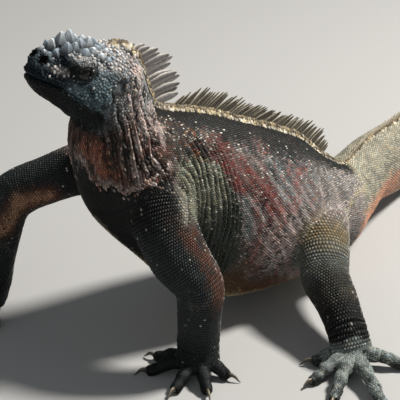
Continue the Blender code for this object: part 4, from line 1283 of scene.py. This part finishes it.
def horn_plate(sides):
    """A pyramid with hollow flanks: from a sunk foot to a small blunt tip, painted dark at the foot as
    shade and light at the tip as highlight.
    """
    # Each ring: its radius, its height and its painted light, dark at the foot as shade and light near the
    # tip as highlight
    rings = ((0.62, -0.30, 0.06), (0.52, 0.08, 0.22), (0.39, 0.38, 0.60), (0.26, 0.68, 1.00),
             (0.11, 0.94, 1.60))
    points, painted_light_and_shade, faces = [], [], []
    for number, (radius, height, tone) in enumerate(rings):
        points += [(radius * math.cos(turn), radius * math.sin(turn), height) for turn in turns(sides)]
        painted_light_and_shade += [tone] * sides
        low, high = number * sides, (number + 1) * sides
        if number < len(rings) - 1:
            faces += [(low + i, low + (i + 1) % sides, high + (i + 1) % sides, high + i)
                      for i in range(sides)]
    points.append((0, 0, 1.0))
    painted_light_and_shade.append(TIP_HIGHLIGHT)
    last = (len(rings) - 1) * sides
    faces += [(last + i, last + (i + 1) % sides, len(points) - 1) for i in range(sides)]
    return SimpleNamespace(points=points, faces=faces, painted_light_and_shade=painted_light_and_shade)


def cast_down(forward, across):
    """The skin under a place on the top of the head, and its direction out."""
    start = in_head((forward * HEAD_LENGTH, across, HEAD_LENGTH))
    place, _, face, _ = skin_tree.ray_cast(Vector(start), Vector(-HEAD_UP))
    outward = skin_normals[corners[face]].mean(0)
    return np.array(place), outward / np.linalg.norm(outward)


plate_feet, plate_up, plate_sizes = [], [], []
for forward, spacing, count, height in PLATE_ROWS:
    for number in range(count):
        across = (number - (count - 1) / 2) * spacing
        sway = draw.uniform(-PLATE_STRAY, PLATE_STRAY, 2)
        centre = 1 - 0.45 * abs(across) / (spacing * count / 2)
        place, outward = cast_down(forward + sway[0] / HEAD_LENGTH, across + sway[1])
        plate_feet.append(place)
        plate_up.append(outward + HEAD_UP * 0.6 + draw.uniform(-PLATE_TILT, PLATE_TILT, 3))
        rise = height * 0.88 * centre * draw.uniform(0.62, 1.25)
        broad = spacing * draw.uniform(0.95, 1.35)
        plate_sizes.append((broad * 1.15, broad, rise))
plate_feet, plate_sizes = np.array(plate_feet), np.array(plate_sizes)
plate_up = np.array([way / np.linalg.norm(way) for way in plate_up])
local = to_head(plate_feet)
shares = np.stack([0.5 + local[:, 1] / 0.08, local[:, 0] / 0.09], 1)
tint = draw.random((len(plate_feet), 1)) ** 2
colours = np.array(PLATE_HORN) * (1 - tint) + np.array(PLATE_PALE) * tint
turned = HEAD_FORWARD + draw.uniform(-0.5, 0.5, (len(plate_feet), 3))
plates = plant("head_plates", plate_feet, turned, plate_up,
               plate_sizes, colours, shares, horn_plate(5))
plates.data.set_sharp_from_angle(angle=math.radians(25))
dressed(plates, scaly("plate horn", 0.50, 0.35, 0.0009, 0.0004))

# The grains of the face, crown and throat: irregular beads packed side by side, fine round
# the eye, coarse and crusty on the crown, large on the cheek and squarer along the lips.

FACE_TRIES = 34000
HEAD_BACK = -0.012
THROAT_HEIGHT = 0.222
HEAD_REAR = -0.2


def grain_radius(local, points):
    """How big the grains are at each place of the head."""
    forward, _, up = local.T
    blotch = cloud(points, 0.006, 71)
    radius = np.full(len(points), 0.00125) + 0.00035 * blotch
    mouth_level = mouth_height(forward)
    radius = np.where(up < mouth_level - 0.003, 0.00085, radius)
    lips = np.abs(np.abs(up - mouth_level) - 0.0030) < 0.0016
    radius = np.where(lips & (forward > 0.024), 0.00135, radius)
    radius = np.where(up > 0.012, 0.00150 + 0.0003 * blotch, radius)
    cheek = (forward < 0.028) & (np.abs(up + 0.006) < 0.012)
    radius = np.where(cheek, 0.00115 + 0.0003 * blotch, radius)
    eye = away_from(local, EYE, LID_ASPECT)
    return np.where(eye < EYE_RADIUS * 1.9, 0.00062, radius)


def packed(points, radii, standing, their_radii, draw):
    """Which of the points can stand side by side, taken in a random order."""
    cell = 0.005
    grid = {}
    for point, radius in zip(standing.tolist(), their_radii.tolist()):
        grid.setdefault(tuple(int(part // cell) for part in point), []).append((*point, radius))
    kept = []
    for number in draw.permutation(len(points)).tolist():
        x, y, z = points[number]
        radius = radii[number]
        home = (int(x // cell), int(y // cell), int(z // cell))
        beside = (grid.get((home[0] + step[0] - 1, home[1] + step[1] - 1, home[2] + step[2] - 1), ())
                  for step in np.ndindex(3, 3, 3))
        if all((x - its_x) ** 2 + (y - its_y) ** 2 + (z - its_z) ** 2 >= (0.92 * (radius + other)) ** 2
               for group in beside for its_x, its_y, its_z, other in group):
            kept.append(number)
            grid.setdefault(home, []).append((x, y, z, radius))
    return np.array(kept)


middles = skin_points[corners].mean(1)
on_face = ((to_head(middles)[:, 0] > HEAD_BACK) & (middles[:, 2] > THROAT_HEIGHT)
           & (middles[:, 0] < HEAD_REAR))
faces = corners[on_face]
first, second, third = (skin_points[faces[:, corner]] for corner in range(3))
area = np.linalg.norm(np.cross(second - first, third - first), axis=1)
chosen = draw.choice(len(faces), FACE_TRIES, p=area / area.sum())
across, up = draw.random((2, FACE_TRIES, 1))
past = across + up > 1
across, up = np.where(past, 1 - across, across), np.where(past, 1 - up, up)
spots = first[chosen] + across * (second - first)[chosen] + up * (third - first)[chosen]
out = skin_normals[faces[chosen]].mean(1)
out /= np.linalg.norm(out, axis=1)[:, None]
local = to_head(spots)
eye = away_from(local, EYE, LID_ASPECT)
nostril = away_from(local, NOSTRIL)
drum = away_from(local, EARDRUM, DRUM_ASPECT)
mouth = distance_to(local * (1, 0, 1), MOUTH)
free = (eye > EYE_RADIUS * 1.12) & (nostril > 0.0044) & (drum > 0.0052) & (mouth > 0.0008)
spots, out, local = spots[free], out[free], local[free]
radii = grain_radius(local, spots)
kept = packed(spots, radii, plate_feet, plate_sizes[:, 1] * 0.36, draw)
spots, out, local, radii = spots[kept], out[kept], local[kept], radii[kept]
crusty = ramp(local[:, 2], 0.010, 0.018)
rise = radii * (0.40 + 0.9 * crusty) * draw.uniform(0.6, 1.4, len(radii))
drawn_out = draw.uniform(0.85, 1.45, len(radii))
sizes = np.stack([radii * 2.2 * drawn_out, radii * 2.3 / np.sqrt(drawn_out), rise], 1)
turned = draw.normal(size=(len(spots), 3))
colours = varied(spots, draw, 0.35, 0.0007)
worn = np.where(draw.random(len(spots)) < 0.06 + 0.20 * crusty, draw.random(len(spots)) ** 1.5, 0)
worn *= ramp(local[:, 2], -0.012, -0.004)
colours = colours + (np.array(CROWN_CRUST) * 1.3 - colours) * worn[:, None]
angle = np.arctan2(local[:, 1], local[:, 2]) / math.pi
right = ((spots - HEAD_BASE) @ LEFT < 0)
shares = np.stack([0.5 + np.where(right, -0.5, 0.5) * angle, local[:, 0] / 0.10 + 0.15], 1)
face_grains = plant("face_grains", spots, turned, out, sizes, colours, shares,
                    bead(6, 0.44, 0.60, (0.34, 0.92, 1.12)))
dressed(face_grains, scaly("face horn", 0.50, 0.16))

# The crest. Flat horny spines stand in one row down the middle of the neck, back and tail,
# broad, side by side and bent tailwards. They are tallest on the nape, and grow from a keel of
# yellowish crust, whose pointed scales hang over the skin on each side.

NECK_SPINE = 0.037
BACK_SPINE = 0.025
TAIL_SPINE = 0.014
SPINE_THICKNESS = 0.0026
CREST_ROOT = 0.0040
OVER_SKIN = 0.02
# Along a spine: its breadth and thickness as shares of those at the foot, and how far it has
# curled tailwards as a share of its length
FAN_FORM = (
    (0.00, 1.00, 1.00, 0.000), (0.18, 1.06, 0.92, 0.004), (0.38, 1.18, 0.80, 0.018),
    (0.56, 1.26, 0.66, 0.040), (0.72, 1.20, 0.52, 0.068), (0.85, 0.92, 0.40, 0.096),
    (0.95, 0.52, 0.28, 0.120), (1.00, 0.18, 0.16, 0.133),
)
COMB_FORM = (
    (0.00, 1.00, 1.00, 0.000), (0.18, 1.00, 0.92, 0.004), (0.38, 1.00, 0.80, 0.018),
    (0.56, 0.96, 0.66, 0.040), (0.72, 0.84, 0.52, 0.068), (0.85, 0.62, 0.40, 0.096),
    (0.95, 0.36, 0.28, 0.120), (1.00, 0.12, 0.16, 0.133),
)
# Each stretch of crest: where along X it starts and stops, how many spines it has, the length
# of the fullest, how far along it the others are which share of that, how far along they lean
# back by how many degrees, how broad they are for their spacing and their form; then the
# colours of their flanks, middles, rims and feet
NAPE_CREST = SimpleNamespace(
    start=-0.238, stop=-0.191, count=19, fullest=NECK_SPINE,
    shares=((0.0, 0.10), (0.25, 0.16), (0.40, 0.50), (0.60, 0.92), (0.90, 1.0), (1.0, 0.62)),
    leans=((0.0, 8), (0.35, 6), (0.60, -12), (1.0, -8)), fill=1.30, form=FAN_FORM,
    flank=(0.460, 0.425, 0.400), middle=(0.050, 0.042, 0.046), rim=(0.720, 0.670, 0.600),
    foot=(0.200, 0.185, 0.130))
BACK_CREST = SimpleNamespace(
    start=-0.173, stop=-0.003, count=66, fullest=BACK_SPINE,
    shares=((0.0, 0.70), (0.08, 1.00), (0.40, 0.92), (0.70, 0.76), (0.88, 0.78), (1.0, 0.42)),
    leans=((0.0, 4), (0.20, 20), (0.45, 33), (1.0, 38)), fill=1.30, form=COMB_FORM,
    flank=(0.170, 0.147, 0.110), middle=(0.030, 0.025, 0.018), rim=(0.520, 0.465, 0.350),
    foot=(0.260, 0.215, 0.130))
TAIL_CREST = SimpleNamespace(
    start=0.010, stop=0.575, count=150, fullest=TAIL_SPINE,
    shares=((0.0, 0.22), (0.10, 0.50), (0.32, 1.0), (1.0, 0.16)),
    leans=((0.0, 38), (1.0, 40)), fill=1.10, form=COMB_FORM,
    flank=(0.320, 0.280, 0.200), middle=(0.170, 0.135, 0.095), rim=(0.520, 0.470, 0.360),
    foot=(0.400, 0.350, 0.220))
SPINE_SIDES = 10

ridge_line = body.line[:, :3] + body.dorsal * body.line[:, 4:5]
ridge_length = lengths_along(ridge_line)


def read_at(share, profile):
    """A value between the points of a profile, each a place and the value there."""
    return float(np.interp(share, *zip(*profile)))


def on_ridge(length):
    """The skin's highest line at this length: the place, the way on and the way out."""
    at, onward, dorsal = (np.array([np.interp(length, ridge_length, column) for column in rows.T])
                          for rows in (ridge_line, body.onward, body.dorsal))
    place = skin_tree.ray_cast(Vector(at + dorsal * OVER_SKIN), Vector(-dorsal))[0]
    return np.array(place), onward, dorsal


def blade(foot, onward, dorsal, length, breadth, lean, sway, form):
    """One spine's rings of points, from the foot up."""
    sideways = np.cross(onward, dorsal)
    way = dorsal * math.cos(lean) + onward * math.sin(lean) + sideways * sway
    edge = np.cross(sideways, way)
    turn = turns(SPINE_SIDES)
    rings = []
    for share, broad, thick, curl in form:
        middle = foot + way * (length * share - CREST_ROOT * (1 - share)) + onward * (length * curl)
        across = np.cos(turn)[:, None] * edge * breadth / 2 * broad
        through_it = np.sin(turn)[:, None] * sideways * SPINE_THICKNESS / 2 * thick
        rings.append(middle + across + through_it)
    return np.array(rings)


def crest(name, stretch):
    """One stretch of spines as a mesh: dark down the middle, pale at the edges and the foot."""
    first, last = np.interp((stretch.start, stretch.stop), ridge_line[:, 0], ridge_length)
    spacing = (last - first) / stretch.count
    flank, middle, rim, low = (np.array(colour) for colour in (
        stretch.flank, stretch.middle, stretch.rim, stretch.foot))
    rings = len(stretch.form)
    along = np.array([row[0] for row in stretch.form])[:, None]
    turn = turns(SPINE_SIDES)[None]
    edge = (np.abs(np.cos(turn)) ** 5 * np.ones_like(along))[..., None]
    footing = np.clip(1 - along * 3.2, 0, 1)[..., None]
    tip = ramp(along, 0.86, 1.0)[..., None]
    points, tints, faces = [], [], []
    for number in range(stretch.count):
        share = (number + 0.5 + draw.uniform(-0.15, 0.15)) / stretch.count
        foot, onward, dorsal = on_ridge(first + share * (last - first))
        length = stretch.fullest * read_at(share, stretch.shares) * draw.uniform(0.88, 1.06)
        lean = math.radians(read_at(share, stretch.leans) + draw.uniform(-3, 3))
        breadth = min(spacing * stretch.fill, 0.7 * length)
        sway = draw.uniform(-0.05, 0.05)
        points.append(blade(foot, onward, dorsal, length, breadth, lean, sway, stretch.form))
        dark = np.clip(draw.uniform(0.8, 1.4) - 0.4 * along * draw.random(), 0, 1)[..., None]
        across = np.abs(np.cos(turn))[..., None] ** 1.3
        tint = flank + (middle - flank) * dark * (1 - across) * np.ones_like(edge)
        tint = tint + (rim * draw.uniform(0.7, 1.1) - tint) * edge
        tint = tint + (middle - tint) * tip * 0.70
        tints.append(tint + (low - tint) * footing * 0.8)
        start = number * rings * SPINE_SIDES
        for ring in range(start, start + (rings - 1) * SPINE_SIDES, SPINE_SIDES):
            for i in range(SPINE_SIDES):
                j = (i + 1) % SPINE_SIDES
                faces.append((ring + i, ring + j, ring + SPINE_SIDES + j, ring + SPINE_SIDES + i))
        top = start + (rings - 1) * SPINE_SIDES
        faces.append([top + i for i in range(SPINE_SIDES)])
        faces.append([start + i for i in reversed(range(SPINE_SIDES))])
    made = mesh_object(name, np.array(points).reshape(-1, 3) + SHIFT, faces)
    paint(made.data, np.array(tints).reshape(-1, 3))
    bake = made.data.uv_layers.new(name="OFBake")
    for loop, spot in zip(made.data.loops, bake.data):
        number, place = divmod(loop.vertex_index, rings * SPINE_SIDES)
        ring, side = divmod(place, SPINE_SIDES)
        across = (number + 0.1 + 0.8 * side / SPINE_SIDES) / stretch.count
        spot.uv = (across, 0.05 + 0.9 * ring / rings)
    return dressed(made, spine_horn)


spine_horn = scaly("spine horn", 0.52, 0.30, 0.0010, 0.00025)
crest("nape_spines", NAPE_CREST)
crest("back_spines", BACK_CREST)
crest("tail_spines", TAIL_CREST)

# The keel's half section, from the skin up to its top: how far out and how high
KEEL_SECTION = ((1.00, -0.30), (0.95, 0.15), (0.70, 0.50), (0.42, 0.82), (0.0, 1.0))
KEEL_STEP = 0.0016
# Along X, the keel's half width and height
KEEL_SIZES = ((-0.238, 0.0014, 0.0008), (-0.231, 0.0042, 0.0036), (-0.220, 0.0048, 0.0058),
              (-0.195, 0.0042, 0.0058), (-0.172, 0.0036, 0.0052), (-0.010, 0.0036, 0.0050),
              (0.030, 0.0022, 0.0028), (0.200, 0.0018, 0.0022), (0.570, 0.0008, 0.0010))
CRUST_YELLOW = (0.400, 0.320, 0.175)
CRUST_PALE = (0.660, 0.610, 0.500)
CRUST_BROWN = (0.085, 0.060, 0.034)


def keel_at(length):
    """The keel's place, its way on and out, its half width and its height."""
    place, onward, dorsal = on_ridge(length)
    sizes = np.array(KEEL_SIZES)
    width, height = (np.interp(place[0], sizes[:, 0], column) for column in sizes[:, 1:].T)
    return place, onward, dorsal, width, height


section = [(-across, up) for across, up in KEEL_SECTION[:-1]]
section += list(KEEL_SECTION[::-1])
keel_points, keel_faces = [], []
first, last = np.interp((NAPE_CREST.start, TAIL_CREST.stop), ridge_line[:, 0], ridge_length)
lengths = np.arange(first, last, KEEL_STEP)
for number, length in enumerate(lengths):
    place, onward, dorsal, width, height = keel_at(length)
    sideways = np.cross(onward, dorsal)
    for across, up in section:
        rough = draw.uniform(0.82, 1.18)
        keel_points.append(place + sideways * across * width * rough + dorsal * up * height * rough)
    if number:
        low = (number - 1) * len(section)
        high = number * len(section)
        for i in range(len(section) - 1):
            keel_faces.append((low + i, low + i + 1, high + i + 1, high + i))
keel = mesh_object("crest_keel", np.array(keel_points) + SHIFT, keel_faces)
tint = ramp(blotches(keel_points, (0.004, 0.0016), 81), -0.3, 1.1)[:, None]
paint(keel.data, np.array(CRUST_YELLOW) * tint + np.array(CRUST_BROWN) * (1 - tint))
crust_skin = scaly("crest crust", 0.6, 0.35, 0.0009, 0.0003)
dressed(keel, crust_skin)

CRUST_STEP = 0.0026
CRUST_STRAY = 0.0006
# The keel's half width that the crust's scales are drawn for
CRUST_WIDTH = 0.0040
# The rows of crust scales up the keel: how far out, how high, how broad and how thick
CRUST_ROWS = ((1.15, 0.02, 0.0040, 0.0020), (0.92, 0.30, 0.0034, 0.0018),
              (0.62, 0.66, 0.0028, 0.0016))
# How rare yellow, pale and brown scales are in each row
CRUST_LEANS = ((1.0, 0.7, 3.0), (1.2, 2.0, 0.8), (1.6, 4.0, 0.4))
roots, ways, outs, sizes, kinds = [], [], [], [], []
for length in np.arange(first, last, CRUST_STEP):
    for (across, up, broad, rise), leaning in zip(CRUST_ROWS, CRUST_LEANS):
        for side in (1, -1):
            nearby = length + draw.uniform(-CRUST_STRAY, CRUST_STRAY)
            place, onward, dorsal, width, height = keel_at(nearby)
            sideways = np.cross(onward, dorsal) * side
            reach = across * width * draw.uniform(0.78, 1.22)
            roots.append(place + sideways * reach + dorsal * up * height)
            ways.append(sideways * 0.7 - dorsal * 1.0 + onward * draw.uniform(-0.2, 1.1))
            outs.append(sideways + dorsal * 0.7)
            grow = draw.uniform(0.55, 1.40) * width / CRUST_WIDTH
            sizes.append((broad * 1.25 * grow, broad * grow, rise * grow))
            kinds.append(leaning)
roots, ways, outs = np.array(roots), np.array(ways), np.array(outs)
outs /= np.linalg.norm(outs, axis=1)[:, None]
tint = (draw.random((len(roots), 3)) ** kinds) ** 3
tint /= tint.sum(1)[:, None]
colours = tint @ np.array((CRUST_YELLOW, CRUST_PALE, CRUST_BROWN))
colours *= (0.50 + 0.65 * ramp(cloud(roots, 0.006, 83), -0.6, 0.4))[:, None]
shares = np.stack([0.5 + draw.uniform(-0.4, 0.4, len(roots)), (roots[:, 0] + 0.3) / 1.0], 1)
crust = plant("crest_crust", roots, ways, outs, np.array(sizes), colours, shares, KEELED)
dressed(crust, crust_skin)

# The eyes: dark brown glassy balls, cast with a black pupil and set into their sockets. Thick
# lids of dry skin, one above and one below, half cover each and run out into the face.

IRIS = (0.006, 0.004, 0.003)
PUPIL = (0.002, 0.002, 0.002)
LID_THICK = 1.10
# The lids' opening as shares of the eye's radius: half its width, its height above and below
OPENING = (0.95, 0.48, 0.44)
LID_SIDES = 64
# Each ring of a lid, from its edge out: its reach, how far it stands out and its painted shade, darkest at
# the opening
LID_RINGS = ((0.93, 0.90, 0.15), (0.98, 1.00, 0.30), (1.05, 1.06, 0.60), (1.16, 1.08, 1.0),
             (1.32, 1.06, 1.2), (1.50, 0.90, 1.2))


def glassy_eye():
    """Clear glass over a brown ground with fine fibres."""
    made, tree, shader = new_material("eye")
    marking = tree.nodes.new("ShaderNodeAttribute")
    marking.attribute_name = "marking"
    place = tree.nodes.new("ShaderNodeTexCoord")
    fibres = tree.nodes.new("ShaderNodeTexNoise")
    fibres.inputs["Scale"].default_value = 2500
    tone = tree.nodes.new("ShaderNodeVectorMath")
    tone.operation = "SCALE"
    tree.links.new(place.outputs["Object"], fibres.inputs["Vector"])
    tree.links.new(marking.outputs["Color"], tone.inputs[0])
    tree.links.new(fibres.outputs["Fac"], tone.inputs["Scale"])
    tree.links.new(tone.outputs["Vector"], shader.inputs["Base Color"])
    shader.inputs["Roughness"].default_value = 0.06
    shader.inputs["Specular IOR Level"].default_value = 0.25
    shader.inputs["Coat Weight"].default_value = 0.10
    shader.inputs["Coat Roughness"].default_value = 0.03
    return made


eye_glass = glassy_eye()
lid_skin = scaly("lid skin", 0.5, 0.4)
for side, name in ((1, "left"), (-1, "right")):
    axes = np.array((HEAD_FORWARD, LEFT * side, HEAD_UP))
    centre = in_head(EYE * (1, side, 1))
    local, faces = ball(np.zeros(3), EYE_RADIUS, np.eye(3), 48)
    eyeball = mesh_object(f"{name}_eyeball", local @ axes + centre + SHIFT,
                          [face[::side] for face in faces])
    off_axis = np.hypot(local[:, 0], local[:, 2]) / EYE_RADIUS
    tints = layered(IRIS, (PUPIL, ramp(off_axis, 0.34, 0.28)), (PUPIL, ramp(off_axis, 0.66, 0.76)))
    paint(eyeball.data, tints * 2)
    dressed(eyeball, eye_glass)
    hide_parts(f"eye_{name}")

    turn = turns(LID_SIDES)
    half, above, below = OPENING
    rim = np.stack([half * np.cos(turn), np.where(np.sin(turn) > 0, above, below) * np.sin(turn)], 1)
    outer = np.stack([np.cos(turn), np.sin(turn)], 1)
    points = []
    for reach, lift, _ in LID_RINGS:
        blend = (reach - LID_RINGS[0][0]) / (LID_RINGS[-1][0] - LID_RINGS[0][0])
        flat = rim * (1 - blend) + outer * LID_RINGS[-1][0] * 0.86 * blend
        height = np.sqrt(np.maximum(LID_THICK**2 - (flat**2).sum(1), 0.02)) * lift
        points.append(np.stack([flat[:, 0] * 1.05, height, flat[:, 1]], 1))
    points = np.array(points).reshape(-1, 3) * EYE_RADIUS
    faces = []
    for ring in range(len(LID_RINGS) - 1):
        for i in range(LID_SIDES):
            j = (i + 1) % LID_SIDES
            quad = (ring * LID_SIDES + i, ring * LID_SIDES + j,
                    (ring + 1) * LID_SIDES + j, (ring + 1) * LID_SIDES + i)
            faces.append(quad[::side])
    lids = mesh_object(f"{name}_lids", points @ axes + centre + SHIFT, faces)
    # The lids painted darker towards the opening: painted shade
    shade = np.repeat([shade for _, _, shade in LID_RINGS], LID_SIDES)[:, None]
    paint(lids.data, marks(points @ axes + centre) * shade)
    dressed(lids, lid_skin)

# The claws: curved, dark horn with an ivory ridge, narrower than they are deep, each growing
# out of the last shield of its digit and resting its point on the floor.

CLAW_RADIUS = 0.0030
CLAW_STEPS = 12
CLAW_SIDES = 12
CLAW_SUNK = 0.0022
CLAW_ARCH = 0.0030
CLAW_DROP = 0.0026
CLAW_NARROW = 0.72
CLAW_HORN = (0.045, 0.036, 0.028)
CLAW_IVORY = (0.300, 0.250, 0.170)

claw_horn = scaly("claw horn", 0.28, 0.6, 0.0012, 0.0001)
NODE_NAMES = {"left_arm": "left_forefoot", "right_arm": "right_forefoot",
              "left_leg": "left_hindfoot", "right_leg": "right_hindfoot"}
for name, group in digits.items():
    for number, (digit, way) in enumerate(group, 1):
        root = digit.line[-1, :3] - way * CLAW_SUNK
        rows = []
        for share in np.linspace(0, 1, CLAW_STEPS):
            at = root + way * (CLAW_LENGTH * share)
            at[2] = TOE_HEIGHT + CLAW_ARCH * math.sin(math.pi * min(share * 1.15, 1)) - CLAW_DROP * share**2
            radius = CLAW_RADIUS * (1 - 0.90 * share**1.2)
            rows.append((*at, radius * CLAW_NARROW, radius, radius))
        claw = form_of(rows, np.cross(way, UP), 1, belly=2.0)
        points, faces = tube(claw, CLAW_SIDES)
        node = f"{NODE_NAMES[name]}_claw_{number}"
        made = mesh_object(f"{node}_horn", points + SHIFT, [face[::-1] for face in faces])
        ivory = ramp(np.sin(np.tile(turns(CLAW_SIDES), CLAW_STEPS)), 0.5, 1.0) * 0.7
        paint(made.data, layered(CLAW_HORN, (CLAW_IVORY, ivory)))
        dressed(made, claw_horn)
        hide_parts(node)

# The museum's plain floor, its soft lamps and the camera, at the photograph's angle: from the
# animal's left front and above it, a third of a turn from its side, through a long lens.

FLOOR_SIZE = 6.0
FLOOR_GAP = 0.0002
FLOOR_GREY = (0.46, 0.455, 0.445)
AIM = np.array((-0.1413, 0.0, 0.1189)) + SHIFT
AZIMUTH = math.radians(-34)
ELEVATION = math.radians(27)
DISTANCE = 1.75
FRAME_WIDTH = 400
PIXELS_A_METRE = 1092

floor_mesh = bpy.data.meshes.new("floor")
bm = bmesh.new()
bmesh.ops.create_grid(bm, x_segments=1, y_segments=1, size=FLOOR_SIZE / 2)
bm.to_mesh(floor_mesh)
bm.free()
floor = linked("floor", floor_mesh)
floor.location.z = -FLOOR_GAP
plaster, _, matt = new_material("pale plaster")
matt.inputs["Base Color"].default_value = (*FLOOR_GREY, 1)
matt.inputs["Roughness"].default_value = 0.9
floor_mesh.materials.append(plaster)

back = np.array((math.sin(AZIMUTH) * math.cos(ELEVATION), -math.cos(AZIMUTH) * math.cos(ELEVATION),
                 math.sin(ELEVATION)))
camera_data = bpy.data.cameras.new("camera")
camera_data.lens = camera_data.sensor_width * PIXELS_A_METRE * DISTANCE / FRAME_WIDTH
camera = linked("camera", camera_data)
camera.location = AIM + back * DISTANCE
camera.rotation_euler = Vector(-back).to_track_quat("-Z", "Y").to_euler()
bpy.context.scene.camera = camera


def lamp(name, place, size, power, colour):
    data = bpy.data.lights.new(name, "AREA")
    data.shape = "DISK"
    data.size = size
    data.energy = power
    data.color = colour
    made = linked(name, data)
    made.location = AIM + np.array(place)
    made.rotation_euler = Vector(-np.array(place)).to_track_quat("-Z", "Y").to_euler()


ROOM_TINT = (0.90, 0.95, 1.0, 1)
ROOM_LIGHT = 0.19
lamp("key lamp", (1.15, -0.42, 1.65), 0.36, 68, (1.0, 0.97, 0.92))
lamp("front lamp", (-1.7, -1.2, 1.1), 1.4, 3.5, (0.93, 0.97, 1.0))
world = bpy.data.worlds.new("room")
world.use_nodes = True
background = world.node_tree.nodes["Background"]
background.inputs["Color"].default_value = ROOM_TINT
background.inputs["Strength"].default_value = ROOM_LIGHT
bpy.context.scene.world = world
bpy.context.scene.view_settings.view_transform = "Standard"
